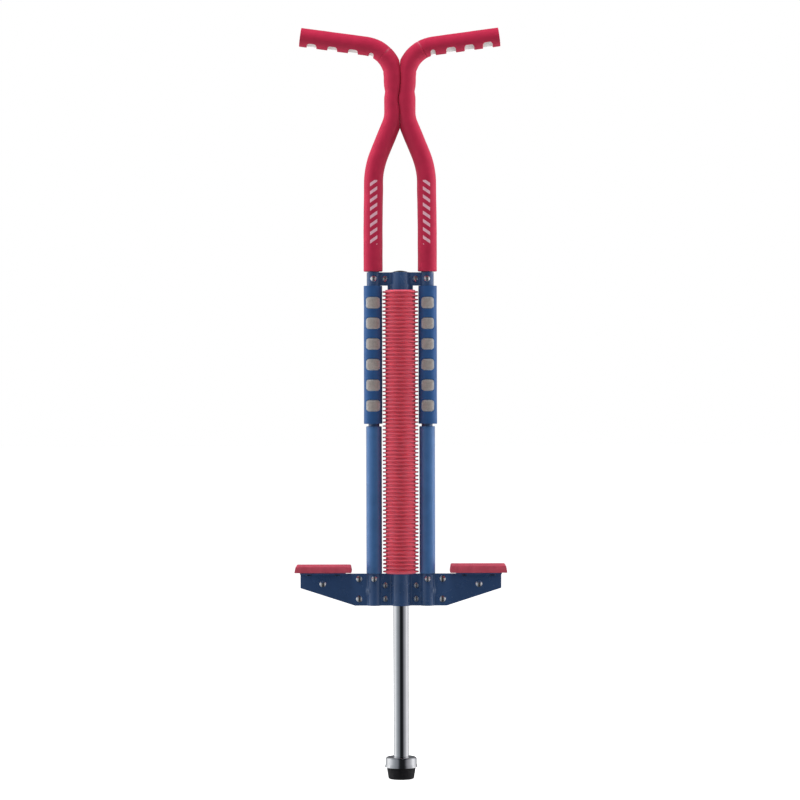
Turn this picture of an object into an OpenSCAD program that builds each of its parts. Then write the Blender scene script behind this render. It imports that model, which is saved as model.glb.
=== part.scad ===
// Spring pogo stick: two bent frame tubes held by an upper and a foot bracket, and a
// sprung piston that slides through both brackets. The ground is z = 0, the piston runs
// along the z axis, the handles reach out along x, and the front is -y. Millimetres.

/* [Frame tubes] */
// Outside diameter of the frame tubes
bar_d = 16; // [15:0.5:16]
// Wall thickness of the frame tubes
bar_wall = 1.6; // [1.2:0.1:2]
// Distance of each leg from the middle of the stick
leg_x = 38.5; // [38:0.1:39]
// Distance of each tube from the middle where the two run side by side
top_x = 9; // [8.8:0.1:9.5]
// Height of the corner at which the legs turn inwards
bend_z = 885; // [880:1:892]
// Turn of the legs towards the middle, in degrees
bend_turn = 22.2; // [20:0.1:24]
// Radius of the lower bend of the legs
low_bend_r = 115; // [100:1:125]
// Radius of the bend that brings the legs upright again
mid_bend_r = 50; // [45:1:60]

/* [Handles] */
// Height of the corner between upright and handle
handle_z = 1056.9; // [1050:0.1:1065]
// Rise of the handles from level, in degrees
handle_rise = 7.7; // [6:0.1:9]
// Radius of the bend into the handle
top_bend_r = 46; // [44:1:48]
// Distance of the handle ends from the middle, along the handle axis
handle_reach = 144.3; // [142:0.1:146]
// Outside diameter of the foam grips
grip_d = 27.4; // [27:0.1:28]
// Diameter of the inner foam of the grips
grip_core_d = 23.4; // [23:0.1:24]
// Turn of the handle bend at which the left and right grips start, in degrees
seam_turn = [45, 60];
// Roll of the left and right finger notches towards the front, in degrees
notch_roll = [-9, 11];
// Length of one finger notch
notch_w = 14.4; // [13:0.1:15]
// Distance from one finger notch to the next, on the left and right grip
notch_pitch = [30.2, 26.8];

/* [Upright foam] */
// Outside diameter of the foam on the uprights
foam_d = 27.7; // [27:0.1:28]
// Height of the lower end of the upright foam
foam_z = 735.3; // [735.3:0.1:740]

/* [Knee pads and leg sleeves] */
// Height of the lower end of the knee pads
pad_z = 514.5; // [512.5:0.5:514.5]
// Length of the knee pads
pad_h = 200; // [196:1:200]
// Outside diameter of the knee pads
pad_d = 26.8; // [26.4:0.1:27]
// Shift of the knee pads to the outside, where their foam is thicker
pad_shift = 1.1; // [0.8:0.1:1.3]
// Number of windows in each knee pad
pad_windows = 6; // [4:1:6]
// Distance from one knee pad window to the next
window_pitch = 29.8; // [29:0.1:30]
// Height of one knee pad window
window_h = 17.3; // [16:0.1:18]
// Width of the left and right knee pad windows
window_w = [20.2, 18.2];
// Outside diameter of the leg sleeves
sleeve_d = 22.7; // [22:0.1:23]
// Height of the upper end of the leg sleeves
sleeve_top_z = 511; // [505:0.5:512]

/* [Brackets] */
// Thickness of the pressed bracket sheets
sheet = 2; // [1.8:0.1:2.2]
// Height of the lower edge of the foot bracket
foot_z = 251; // [250:0.5:252]
// Height of the upper edge of the foot bracket
foot_top_z = 297.4; // [297:0.1:298]
// Half length of the foot bracket
foot_half = 145.5; // [142:0.5:147]
// Half length of the lower edge of the foot bracket
foot_base_half = 66.5; // [64:0.5:70]
// Height at which the ends of the foot bracket start to slant
foot_slant_z = 276.5; // [274:0.5:280]
// Height of the lower edge of the upper bracket
head_z = 715.6; // [715:0.1:715.8]
// Height of the upper edge of the upper bracket
head_top_z = 734.1; // [734:0.1:735]

/* [Treads] */
// Distance from the middle to the inner end of the treads
tread_in = 71; // [70:0.5:74]
// Distance from the middle to the outer end of the treads
tread_out = 153.4; // [152:0.1:154]
// Front to back depth of the treads
tread_depth = 62; // [58:1:66]
// Thickness of the rubber treads
tread_h = 11.2; // [10:0.1:12]

/* [Piston] */
// Outside diameter of the piston tube
piston_d = 22.2; // [22:0.1:22.4]
// Wall thickness of the piston tube
piston_wall = 1.5; // [1.2:0.1:2]
// Outside diameter of the cup above the rubber tip
cup_d = 44.2; // [43:0.1:45]
// Diameter of the lip of that cup
lip_d = 47.6; // [46:0.1:48]
// Height of the top of the cup
cup_top_z = 32; // [31:0.1:34]
// Height of the visible part of the rubber tip
tip_h = 16.8; // [15:0.1:17]
// Diameter of the rubber tip where it meets the cup
tip_d = 41.8; // [40:0.1:42]
// Diameter of the rubber tip near the ground
tip_base_d = 37.8; // [36:0.1:39]

/* [Spring] */
// Wire diameter of the main spring
wire_d = 4.5; // [4:0.1:4.5]
// Outside diameter of the main spring
spring_d = 38; // [37:0.1:38]
// Number of active turns of the main spring
spring_turns = 34; // [28:1:36]
// Number of ribs of the spring cover
ribs = 74; // [60:1:76]
// Diameter of the cover over its ribs
rib_d = 50; // [49:0.1:50]
// Diameter of the cover between its ribs
rib_root_d = 43; // [42.6:0.1:44]

/* [Hidden] */

navy = [0.13, 0.20, 0.34];
sleeve_blue = [0.17, 0.29, 0.52];
pad_blue = [0.13, 0.28, 0.52];
foam_red = [0.76, 0.16, 0.30];
cover_red = [0.80, 0.27, 0.34];
tread_red = [0.70, 0.24, 0.32];
foam_grey = [0.52, 0.50, 0.49];
core_grey = [0.80, 0.78, 0.76];
bright_steel = [0.78, 0.79, 0.82];
nylon_white = [0.92, 0.91, 0.87];
rubber_black = [0.10, 0.10, 0.11];

left = 0;
right = 1;
gap = 0.1;          // room left between pieces that are pushed together
slide_gap = 0.05;   // radial running clearance of the piston in its bushes
cut = 1;            // how far a cutting tool runs past what it cuts
big = 400;

bar_r = bar_d / 2;
piston_r = piston_d / 2;
foam_r = foam_d / 2;
pad_r = pad_d / 2;

// Bends of the frame tubes
handle_turn = 90 - handle_rise;
low_tangent = low_bend_r * tan(bend_turn / 2);
mid_tangent = mid_bend_r * tan(bend_turn / 2);
top_tangent = top_bend_r * tan(handle_turn / 2);
low_start_z = bend_z - low_tangent;
mid_end_z = bend_z + (leg_x - top_x) / tan(bend_turn) + mid_tangent;
top_start_z = handle_z - top_tangent;
slant_length = (leg_x - top_x) / sin(bend_turn) - low_tangent - mid_tangent;
handle_length = (handle_reach - top_x) / cos(handle_rise) - top_tangent;
slant_start = [
    leg_x - low_bend_r * (1 - cos(bend_turn)), 0,
    low_start_z + low_bend_r * sin(bend_turn)
];
handle_start = [
    top_x + top_bend_r * (1 - cos(handle_turn)), 0,
    top_start_z + top_bend_r * sin(handle_turn)
];
tube_foot_z = foot_z + 1.5;
bend_lap = 0.5;           // length by which a bend reaches into the straight pieces
bend_step = 0.1;          // difference in radius between a bend and the straight pieces

// Grips, their ends and the finger notches
grip_end_gap = 3.4;       // the tube ends this far inside the grip
grip_end_wall = 3;
notch_first = 18.3;       // from the handle end to the middle of the outermost notch
notch_half_angle = 60;
notch_corner = 4;
notches = 4;              // the last one lies in the bend and is shorter
bend_notch_w = 10;
seam_gap_turn = 1.5;      // turns of the bend between upright foam and grip,
seam_wall_turn = 3;       // through the inner end wall of the grip,
core_gap_turn = 1.5;      // and between that wall and the inner foam

// The rivet and spacer that join the two tubes under the foam
joint_z = 998;
joint_shank_r = 2.5;
joint_head_r = 4.4;
joint_head_h = 1.6;
joint_pocket_r = 5.2;

// Knee pad windows
pad_wall = 1.9;
window_corner = 4.8;
window_first_z = pad_z + 26.2;
window_proud = 0.35;      // the inner foam stays this far under the outer skin

// Brackets
half_gap = 0.05;
leg_bulge_r = bar_r + half_gap;
bush_wall = 1.2;
barrel_r = piston_r + slide_gap + bush_wall + half_gap;
liner_wall = 0.7;
head_barrel_r = piston_r + slide_gap + liner_wall + half_gap;
skirt_r = head_barrel_r + sheet;
skirt_half = 18.4;
skirt_z = 707.6;
shelf_in = 79.8;          // the tread shelves start here
shelf_out = foot_half;
shelf_half_depth = 27;
shelf_z = foot_top_z + 2.2;
corner_r = 4;
web_face = sheet + half_gap;

// Rivets, as distances from the middle and heights
rivet_r = 2.4;
rivet_hole_r = 2.45;
rivet_head_r = 4.8;
rivet_head_h = 2.2;
small_head_r = 4.3;
head_rivet_z = 724.7;
foot_tube_rivet_z = 290;
head_web_rivets = [[22.2, head_rivet_z]];
foot_small_rivets = [[22.4, 280.2], [22.4, 260.9]];
foot_large_rivets = [[60.2, 290], [60.2, 260.8], [113.2, 282.6]];

// Treads
tread_z = shelf_z + gap;
tread_flare = 1.8;
tread_corner = 9;
screw_r = 2;
screw_head_r = 4;
screw_head_h = 1.8;
screw_rise = 6;
screw_x = [92, 133];
screw_y = 18;

// Spring, its seat and cap, and the cover
flange_h = 2;
flange_r = 19.8;
bush_flange_z = foot_top_z + gap;
bumper_z = bush_flange_z + flange_h + gap;
bumper_h = 7.3;
pin_r = 2.5;
pin_half = 15;
pin_z = bumper_z + bumper_h + gap + pin_r;
seat_z = pin_z + pin_r + gap;
seat_h = 3;
seat_r = 18.8;
hub_r = 13.8;
hub_h = 6;
cap_h = 3;
cap_top_z = skirt_z - gap;
spring_low_z = seat_z + seat_h + gap;
spring_top_z = cap_top_z - cap_h - gap;
wire_sides = 6;
wire_steps = 12;
end_turns = 1;
cover_low_z = bush_flange_z + gap;
cover_top_z = 708.4;
cover_bore_r = 20.3;

// Piston
piston_low_z = 10;
piston_top_z = 734.6;
plug_dome_h = 2;
plug_stem_h = 9;
tip_corner = 2.5;
cup_wall = 1.7;
cup_corner = 3.2;
washer_h = 1.5;

// Points of an arc about (x, y), from angle a to angle b in degrees
function arc_points(x, y, r, a, b, steps = 8) = [
    for (i = [0 : steps])
        let (t = a + (b - a) * i / steps)
            [x + r * cos(t), y + r * sin(t)]
];

// Height of the spring wire's middle after the given number of turns from its lower end
function wire_z(turn) =
    let (
        low = spring_low_z + wire_d / 2,
        close = wire_d + gap,
        open = (spring_top_z - spring_low_z - wire_d - 2 * end_turns * close) / spring_turns,
        after = turn - end_turns - spring_turns
    )
    low + min(turn, end_turns) * close
        + max(0, min(turn - end_turns, spring_turns)) * open
        + max(0, after) * close;

module on_side(side) {
    mirror([side == left ? 1 : 0, 0, 0]) children();
}

module ring(r_out, r_in, z0, z1) {
    translate([0, 0, z0])
        difference() {
            cylinder(r = r_out, h = z1 - z0, $fn = 96);
            translate([0, 0, -cut]) cylinder(r = r_in, h = z1 - z0 + 2 * cut, $fn = 96);
        }
}

module cross_pin(r, half) {
    rotate([90, 0, 0]) cylinder(r = r, h = 2 * half, center = true, $fn = 32);
}

module rounded_rect(w, h, r) {
    square([w - 2 * r, h], center = true);
    square([w, h - 2 * r], center = true);
    for (x = [-1, 1], y = [-1, 1])
        translate([x * (w / 2 - r), y * (h / 2 - r)]) circle(r = r, $fn = 32);
}

// One bend of a frame tube, as a piece of a torus about the point (x, z). It reaches a
// little way into the straight pieces at its ends, and is thicker than them by step.
module bend(x, z, bend_r, start, turn, r, step) {
    lap = bend_lap / bend_r * 180 / PI;
    translate([x, 0, z]) rotate([90, 0, 0]) rotate([0, 0, start - lap])
        rotate_extrude(angle = turn + 2 * lap, $fn = 120)
            translate([bend_r, 0]) circle(r = r + step, $fn = 48);
}

// A round bar along the frame tube from height z up to the given turn of the handle bend.
// Solid bars are a step thinner in their bends, and bars that cut a bore a step thicker.
module upright_run(r, z, turn, step = -bend_step) {
    translate([leg_x, 0, z]) cylinder(r = r, h = low_start_z - z, $fn = 48);
    bend(leg_x - low_bend_r, low_start_z, low_bend_r, 0, bend_turn, r, step);
    translate(slant_start) rotate([0, -bend_turn, 0])
        cylinder(r = r, h = slant_length, $fn = 48);
    bend(top_x + mid_bend_r, mid_end_z, mid_bend_r, 180, bend_turn, r, step);
    translate([top_x, 0, mid_end_z]) cylinder(r = r, h = top_start_z - mid_end_z, $fn = 48);
    bend(top_x + top_bend_r, top_start_z, top_bend_r, 180 - turn, turn, r, step);
}

module along_handle(s) {
    translate(handle_start) rotate([0, handle_turn, 0]) translate([0, 0, s]) children();
}

// A round bar along the handle, from the given turn of the bend to length past the bend
module handle_run(r, turn, length, step = -bend_step) {
    bend(top_x + top_bend_r, top_start_z, top_bend_r, 180 - handle_turn, handle_turn - turn,
         r, step);
    along_handle(0) cylinder(r = r, h = length, $fn = 48);
}

// Frame ----------------------------------------------------------------------------

module frame_tube(side) {
    tube_length = handle_length - grip_end_gap;
    color(navy) on_side(side) difference() {
        union() {
            upright_run(bar_r, tube_foot_z, handle_turn);
            along_handle(0) cylinder(r = bar_r, h = tube_length, $fn = 48);
        }
        union() {
            upright_run(bar_r - bar_wall, tube_foot_z - cut, handle_turn, bend_step);
            along_handle(0) cylinder(r = bar_r - bar_wall, h = tube_length + cut, $fn = 48);
        }
        translate([leg_x, 0, foot_tube_rivet_z]) cross_pin(rivet_hole_r, foam_r);
        translate([leg_x, 0, head_rivet_z]) cross_pin(rivet_hole_r, foam_r);
        translate([top_x, 0, joint_z]) rotate([0, 90, 0])
            cylinder(r = joint_shank_r + half_gap, h = 2 * foam_r, center = true, $fn = 32);
    }
}

module leg_sleeve(side) {
    color(sleeve_blue) on_side(side) translate([leg_x, 0, 0])
        ring(sleeve_d / 2, bar_r + gap, foot_top_z + gap, sleeve_top_z);
}

module window_prism(w, h, grow) {
    rotate([90, 0, 0]) linear_extrude(height = 2 * pad_d, center = true)
        rounded_rect(w + 2 * grow, h + 2 * grow, window_corner + grow);
}

module at_windows() {
    for (i = [0 : pad_windows - 1])
        translate([0, 0, window_first_z + i * window_pitch]) children();
}

module knee_pad(side) {
    color(pad_blue) on_side(side) translate([leg_x + pad_shift, 0, 0]) difference() {
        ring(pad_r, pad_r - pad_wall, pad_z, pad_z + pad_h);
        at_windows() window_prism(window_w[side], window_h, 0);
    }
}

module knee_pad_core(side) {
    color(foam_grey) on_side(side) difference() {
        translate([leg_x + pad_shift, 0, 0]) {
            translate([0, 0, pad_z]) cylinder(r = pad_r - pad_wall - gap, h = pad_h, $fn = 96);
            intersection() {
                translate([0, 0, pad_z]) cylinder(r = pad_r - window_proud, h = pad_h, $fn = 96);
                at_windows() window_prism(window_w[side], window_h, -gap);
            }
        }
        translate([leg_x, 0, pad_z - cut])
            cylinder(r = bar_r + gap, h = pad_h + 2 * cut, $fn = 96);
    }
}

module upright_foam(side) {
    turn = seam_turn[side];
    color(foam_red) on_side(side) difference() {
        upright_run(foam_r, foam_z, turn);
        upright_run(bar_r + gap, foam_z - cut, turn + cut, bend_step);
        translate([-foam_d, -foam_d, foam_z - cut])
            cube([foam_d + gap, 2 * foam_d, big]);
        translate([0, 0, joint_z]) rotate([0, 90, 0])
            cylinder(r = joint_pocket_r, h = 2 * (top_x + bar_r + joint_head_h + gap),
                     center = true, $fn = 48);
    }
}

// A block that cuts one finger notch out of the +x side of a bar along z
module notch_block(side, width) {
    r = grip_d / 2;
    depth = r * (1 - cos(notch_half_angle));
    rotate([0, 0, -notch_roll[side]])
        translate([r + notch_corner, 0, 0]) rotate([90, 90, 0])
            linear_extrude(height = 2 * grip_d, center = true)
                rounded_rect(width, 2 * (depth + notch_corner), notch_corner);
}

module grip(side) {
    turn = seam_turn[side] + seam_gap_turn;
    core_turn = turn + seam_wall_turn;
    wide_r = grip_core_d / 2 + gap;
    last = handle_length - notch_first;
    color(foam_red) on_side(side) difference() {
        handle_run(grip_d / 2, turn, handle_length);
        handle_run(wide_r, core_turn, handle_length - grip_end_wall, bend_step);
        handle_run(bar_r + gap, turn - cut, handle_length + cut, bend_step);
        for (i = [0 : notches - 2])
            along_handle(last - i * notch_pitch[side]) notch_block(side, notch_w);
        around_bend(last - (notches - 1) * notch_pitch[side]) notch_block(side, bend_notch_w);
    }
}

// Carries a piece on from the start of the handle by s, which is negative in the bend
module around_bend(s) {
    translate([top_x + top_bend_r, 0, top_start_z])
        rotate([0, handle_turn + s / top_bend_r * 180 / PI, 0])
            translate([-top_bend_r, 0, 0]) children();
}

module grip_core(side) {
    turn = seam_turn[side] + seam_gap_turn + seam_wall_turn + core_gap_turn;
    color(core_grey) on_side(side) difference() {
        handle_run(grip_core_d / 2, turn, handle_length - grip_end_wall - gap);
        handle_run(bar_r + gap, turn - cut, handle_length, bend_step);
    }
}

module bar_plug(side) {
    head_h = 2.4;
    stem_h = 12;
    color(rubber_black) on_side(side) along_handle(handle_length - grip_end_gap) {
        translate([0, 0, gap]) cylinder(r = bar_r, h = head_h, $fn = 48);
        translate([0, 0, -stem_h])
            cylinder(r = bar_r - bar_wall - gap, h = stem_h + head_h, $fn = 48);
    }
}

// Rivet that joins the two tubes where they run side by side, under the foam
module handle_rivet() {
    reach = top_x + bar_r;
    color(bright_steel) translate([0, 0, joint_z]) rotate([0, 90, 0]) {
        cylinder(r = joint_shank_r, h = 2 * reach, center = true, $fn = 32);
        for (end = [0, 1]) mirror([0, 0, end]) translate([0, 0, reach])
            cylinder(r = joint_head_r, h = joint_head_h, $fn = 32);
    }
}

module handle_spacer() {
    half = top_x - bar_r - gap;
    color(nylon_white) translate([0, 0, joint_z]) rotate([0, 90, 0]) difference() {
        cylinder(r = joint_pocket_r - gap, h = 2 * half, center = true, $fn = 48);
        cylinder(r = joint_shank_r + gap, h = 4 * half, center = true, $fn = 32);
    }
}

// Brackets -------------------------------------------------------------------------

module front_half() {
    intersection() {
        children();
        translate([-big / 2, -big - half_gap, 0]) cube([big, big, 2 * big]);
    }
}

// Bulge of a sheet around a tube of radius r, between two heights
module bulge(x, r, z0, z1) {
    translate([x, 0, z0]) cylinder(r = r + sheet, h = z1 - z0, $fn = 96);
}

module bore(x, r, z0, z1) {
    translate([x, 0, z0 - cut]) cylinder(r = r, h = z1 - z0 + 2 * cut, $fn = 96);
}

module web_holes(points) {
    for (p = points, x = [-1, 1]) translate([x * p[0], 0, p[1]])
        cross_pin(rivet_hole_r, foam_r);
}

module upper_bracket_half() {
    leg_holes = [[leg_x, head_rivet_z]];
    front_half() difference() {
        union() {
            translate([-leg_x, -web_face, head_z])
                cube([2 * leg_x, web_face, head_top_z - head_z]);
            translate([-skirt_half, -web_face, skirt_z])
                cube([2 * skirt_half, web_face, head_z - skirt_z + cut]);
            for (x = [-leg_x, leg_x]) bulge(x, leg_bulge_r, head_z, head_top_z);
            bulge(0, head_barrel_r, head_z, head_top_z);
            bulge(0, skirt_r, skirt_z, head_z + sheet);
        }
        for (x = [-leg_x, leg_x]) bore(x, leg_bulge_r, head_z, head_top_z);
        bore(0, head_barrel_r, skirt_z, head_top_z);
        translate([0, 0, skirt_z - cut])
            cylinder(r = skirt_r, h = head_z - skirt_z + cut, $fn = 96);
        web_holes(concat(leg_holes, head_web_rivets));
    }
}

module upper_bracket_front() {
    color(navy) upper_bracket_half();
}

module upper_bracket_rear() {
    color(navy) mirror([0, 1, 0]) upper_bracket_half();
}

// Outline of the foot bracket seen from the front, for one side, with rounded corners
module foot_outline() {
    slant = atan2(foot_slant_z - foot_z, foot_half - foot_base_half);
    polygon(concat(
        [[0, foot_z]],
        arc_points(foot_base_half, foot_z + corner_r, corner_r, -90, -90 + slant),
        arc_points(foot_half - corner_r, foot_slant_z + corner_r, corner_r, -90 + slant, 0),
        [[foot_half, shelf_z], [shelf_in, shelf_z], [shelf_in, foot_top_z], [0, foot_top_z]]
    ));
}

module foot_bracket_half() {
    front_half() difference() {
        union() {
            for (side = [left, right]) on_side(side) {
                rotate([90, 0, 0]) linear_extrude(height = web_face) foot_outline();
                translate([shelf_in, -shelf_half_depth, foot_top_z])
                    cube([shelf_out - shelf_in, shelf_half_depth, shelf_z - foot_top_z]);
                bulge(leg_x, leg_bulge_r, foot_z, foot_top_z);
            }
            bulge(0, barrel_r, foot_z, foot_top_z);
        }
        for (x = [-leg_x, leg_x]) bore(x, leg_bulge_r, foot_z, foot_top_z);
        bore(0, barrel_r, foot_z, foot_top_z);
        web_holes(concat([[leg_x, foot_tube_rivet_z]], foot_small_rivets, foot_large_rivets));
        for (x = screw_x, side = [-1, 1]) translate([side * x, -screw_y, foot_top_z - cut])
            cylinder(r = screw_r + gap, h = shelf_z - foot_top_z + 2 * cut, $fn = 32);
    }
}

module foot_bracket_front() {
    color(navy) foot_bracket_half();
}

module foot_bracket_rear() {
    color(navy) mirror([0, 1, 0]) foot_bracket_half();
}

// Domed rivet head of radius r and height h on a face at y = -face
module dome_head(face, r, h = rivet_head_h) {
    dome_r = (r * r + h * h) / (2 * h);
    translate([0, -face, 0]) rotate([90, 0, 0])
        intersection() {
            translate([0, 0, h - dome_r]) sphere(r = dome_r, $fn = 64);
            cylinder(r = r, h = h + cut, $fn = 64);
        }
}

module web_rivet(r) {
    cross_pin(rivet_r, web_face + half_gap);
    for (back = [0, 1]) mirror([0, back, 0]) dome_head(web_face + half_gap, r);
}

// Rivet through a leg, with heads that sit on the round bulge of the bracket
module leg_rivet() {
    bulge_r = leg_bulge_r + sheet + half_gap;
    face = bulge_r - 1.6;
    cross_pin(rivet_r, bulge_r + rivet_head_h / 2);
    for (back = [0, 1]) mirror([0, back, 0]) difference() {
        dome_head(face, rivet_head_r, rivet_head_h + bulge_r - face);
        cylinder(r = bulge_r, h = 4 * rivet_head_r, center = true, $fn = 96);
    }
}

module tube_rivets() {
    color(bright_steel) for (x = [-leg_x, leg_x], z = [foot_tube_rivet_z, head_rivet_z])
        translate([x, 0, z]) leg_rivet();
}

module upper_web_rivets() {
    color(bright_steel) for (p = head_web_rivets, x = [-1, 1])
        translate([x * p[0], 0, p[1]]) web_rivet(small_head_r);
}

module foot_web_rivets() {
    color(bright_steel) for (x = [-1, 1]) {
        for (p = foot_small_rivets) translate([x * p[0], 0, p[1]]) web_rivet(small_head_r);
        for (p = foot_large_rivets) translate([x * p[0], 0, p[1]]) web_rivet(rivet_head_r);
    }
}

// Rubber block with sloping sides, rounded corners and pilot holes for its screws
module tread(side) {
    length = tread_out - tread_in;
    middle = (tread_out + tread_in) / 2;
    color(tread_red) on_side(side) difference() {
        intersection() {
            translate([middle, 0, tread_z]) rotate([90, 0, 0])
                linear_extrude(height = 2 * tread_depth, center = true)
                    trapezoid(length, length - 2 * tread_flare);
            translate([middle, 0, tread_z]) rotate([90, 0, 90])
                linear_extrude(height = 2 * length, center = true)
                    trapezoid(tread_depth, tread_depth - 2 * tread_flare);
            translate([middle, 0, tread_z - cut]) linear_extrude(height = tread_h + 2 * cut)
                rounded_rect(length, tread_depth, tread_corner);
        }
        for (x = screw_x, y = [-screw_y, screw_y]) translate([x, y, tread_z - cut])
            cylinder(r = screw_r + gap, h = screw_rise + cut + gap, $fn = 32);
    }
}

module trapezoid(low, high) {
    polygon([[-low / 2, 0], [low / 2, 0], [high / 2, tread_h], [-high / 2, tread_h]]);
}

module tread_screws() {
    color(bright_steel) for (side = [-1, 1], x = screw_x, y = [-screw_y, screw_y])
        translate([side * x, y, 0]) {
            translate([0, 0, foot_top_z - half_gap])
                cylinder(r = screw_r, h = tread_z + screw_rise - foot_top_z, $fn = 32);
            translate([0, 0, foot_top_z - half_gap - screw_head_h])
                cylinder(r = screw_head_r, h = screw_head_h, $fn = 32);
        }
}

// Guides, spring and cover ---------------------------------------------------------

module upper_bushing() {
    bore_r = piston_r + slide_gap;
    color(nylon_white) {
        ring(bore_r + liner_wall, bore_r, head_z - gap - flange_h, head_top_z);
        ring(skirt_r - gap, bore_r + liner_wall, head_z - gap - flange_h, head_z - gap);
    }
}

module lower_bushing() {
    bore_r = piston_r + slide_gap;
    color(nylon_white) {
        ring(bore_r + bush_wall, bore_r, foot_z + gap, bush_flange_z + flange_h);
        ring(flange_r, bore_r + bush_wall, bush_flange_z, bush_flange_z + flange_h);
    }
}

module upper_spring_cap() {
    bore_r = piston_r + 3 * gap;
    color(bright_steel) {
        ring(flange_r, bore_r, cap_top_z - cap_h, cap_top_z);
        ring(hub_r, bore_r, cap_top_z - cap_h - hub_h, cap_top_z - cap_h);
    }
}

module rebound_bumper() {
    color(rubber_black) ring(seat_r, piston_r + 4 * gap, bumper_z, bumper_z + bumper_h);
}

module spring_cover() {
    pitch = (cover_top_z - cover_low_z) / ribs;
    root_r = rib_root_d / 2;
    tip_r = rib_d / 2;
    profile = [
        for (i = [0 : ribs - 1])
            let (z = cover_low_z + i * pitch)
                each [
                    [root_r, z], [root_r, z + 0.3 * pitch],
                    [tip_r, z + 0.5 * pitch], [tip_r, z + 0.8 * pitch]
                ]
    ];
    color(cover_red) rotate_extrude($fn = 96)
        polygon(concat(
            [[cover_bore_r, cover_low_z]], profile,
            [[root_r, cover_top_z], [cover_bore_r, cover_top_z]]
        ));
}

module main_spring() {
    coil_r = (spring_d - wire_d) / 2;
    turns = spring_turns + 2 * end_turns;
    rings = turns * wire_steps;
    points = [
        for (i = [0 : rings], k = [0 : wire_sides - 1])
            let (
                around = 360 * i / wire_steps,
                section = 360 * k / wire_sides,
                r = coil_r + wire_d / 2 * cos(section)
            )
                [r * cos(around), r * sin(around),
                 wire_z(i / wire_steps) + wire_d / 2 * sin(section)]
    ];
    walls = [
        for (i = [0 : rings - 1], k = [0 : wire_sides - 1])
            let (
                a = i * wire_sides + k,
                b = i * wire_sides + (k + 1) % wire_sides
            )
                each [[a, b, b + wire_sides], [a, b + wire_sides, a + wire_sides]]
    ];
    first = [for (k = [wire_sides - 1 : -1 : 0]) k];
    last = [for (k = [0 : wire_sides - 1]) rings * wire_sides + k];
    color(bright_steel) polyhedron(points = points, faces = concat([first], walls, [last]));
}

module spring_seat() {
    bore_r = piston_r + slide_gap;
    color(bright_steel) {
        ring(seat_r, bore_r, seat_z, seat_z + seat_h);
        ring(hub_r, bore_r, seat_z + seat_h, seat_z + seat_h + hub_h);
    }
}

// Piston ---------------------------------------------------------------------------

module piston_tube() {
    color(bright_steel) difference() {
        ring(piston_r, piston_r - piston_wall, piston_low_z, piston_top_z);
        translate([0, 0, pin_z]) rotate([0, 0, 90]) cross_pin(pin_r + half_gap, piston_r + cut);
    }
}

module piston_top_plug() {
    plug_r = piston_r - gap;
    dome_r = (plug_r * plug_r + plug_dome_h * plug_dome_h) / (2 * plug_dome_h);
    base_z = piston_top_z + half_gap;
    color(rubber_black) {
        intersection() {
            translate([0, 0, base_z + plug_dome_h - dome_r]) sphere(r = dome_r, $fn = 96);
            translate([0, 0, base_z]) cylinder(r = plug_r, h = plug_dome_h + cut, $fn = 96);
        }
        translate([0, 0, base_z - plug_stem_h])
            cylinder(r = piston_r - piston_wall - gap, h = plug_stem_h + gap, $fn = 64);
    }
}

module seat_pin() {
    color(bright_steel) translate([0, 0, pin_z]) rotate([0, 0, 90]) cross_pin(pin_r, pin_half);
}

module foot_cup() {
    r = cup_d / 2;
    lip_r = lip_d / 2;
    bore_r = piston_r + half_gap;
    low = tip_h + gap;
    color(bright_steel) rotate_extrude($fn = 96)
        polygon(concat(
            [[bore_r, cup_top_z]],
            arc_points(r - cup_corner, cup_top_z - cup_corner, cup_corner, 90, 0),
            [[r, low + 4.2], [lip_r, low + 1], [lip_r, low], [tip_d / 2 + gap, low]],
            [[r - cup_wall, low + 4], [r - cup_wall, cup_top_z - cup_wall],
             [bore_r, cup_top_z - cup_wall]]
        ));
}

module rubber_tip() {
    base_r = tip_base_d / 2;
    inner_r = cup_d / 2 - cup_wall - gap;
    socket_r = piston_r + half_gap;
    socket_z = piston_low_z - washer_h - 2 * gap;
    top = cup_top_z - cup_wall - gap;
    color(rubber_black) rotate_extrude($fn = 96)
        polygon(concat(
            [[0, 0]],
            arc_points(base_r - tip_corner, tip_corner, tip_corner, -90, 0),
            [[tip_d / 2, tip_h], [inner_r, tip_h + 4.5], [inner_r, top], [socket_r, top]],
            [[socket_r, socket_z], [0, socket_z]]
        ));
}

module tip_washer() {
    color(bright_steel) translate([0, 0, piston_low_z - gap - washer_h])
        cylinder(r = piston_r, h = washer_h, $fn = 64);
}

frame_tube(left);  // left_frame_tube
frame_tube(right);  // right_frame_tube
leg_sleeve(left);  // left_leg_sleeve
leg_sleeve(right);  // right_leg_sleeve
knee_pad(left);  // left_knee_pad
knee_pad(right);  // right_knee_pad
knee_pad_core(left);  // left_knee_pad_core
knee_pad_core(right);  // right_knee_pad_core
upright_foam(left);  // left_upright_foam
upright_foam(right);  // right_upright_foam
grip(left);  // left_grip
grip(right);  // right_grip
grip_core(left);  // left_grip_core
grip_core(right);  // right_grip_core
bar_plug(left);  // left_bar_plug
bar_plug(right);  // right_bar_plug
handle_rivet();
handle_spacer();
upper_bracket_front();
upper_bracket_rear();
upper_bushing();
upper_spring_cap();
foot_bracket_front();
foot_bracket_rear();
tube_rivets();
upper_web_rivets();
foot_web_rivets();
tread(left);  // left_tread
tread(right);  // right_tread
tread_screws();
lower_bushing();
rebound_bumper();
spring_cover();
main_spring();
spring_seat();
piston_tube();
piston_top_plug();
seat_pin();
foot_cup();
rubber_tip();
tip_washer();
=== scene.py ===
"""Spring pogo stick: foam, rubber, plastic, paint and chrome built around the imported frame.

Each sub-assembly is a class that holds its sizes in metres, models its meshes in edit
mode and hands them to the frame. The ground is z = 0, the piston runs
along z, the handles reach out along x, and the front is -y.
"""

from __future__ import annotations

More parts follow.
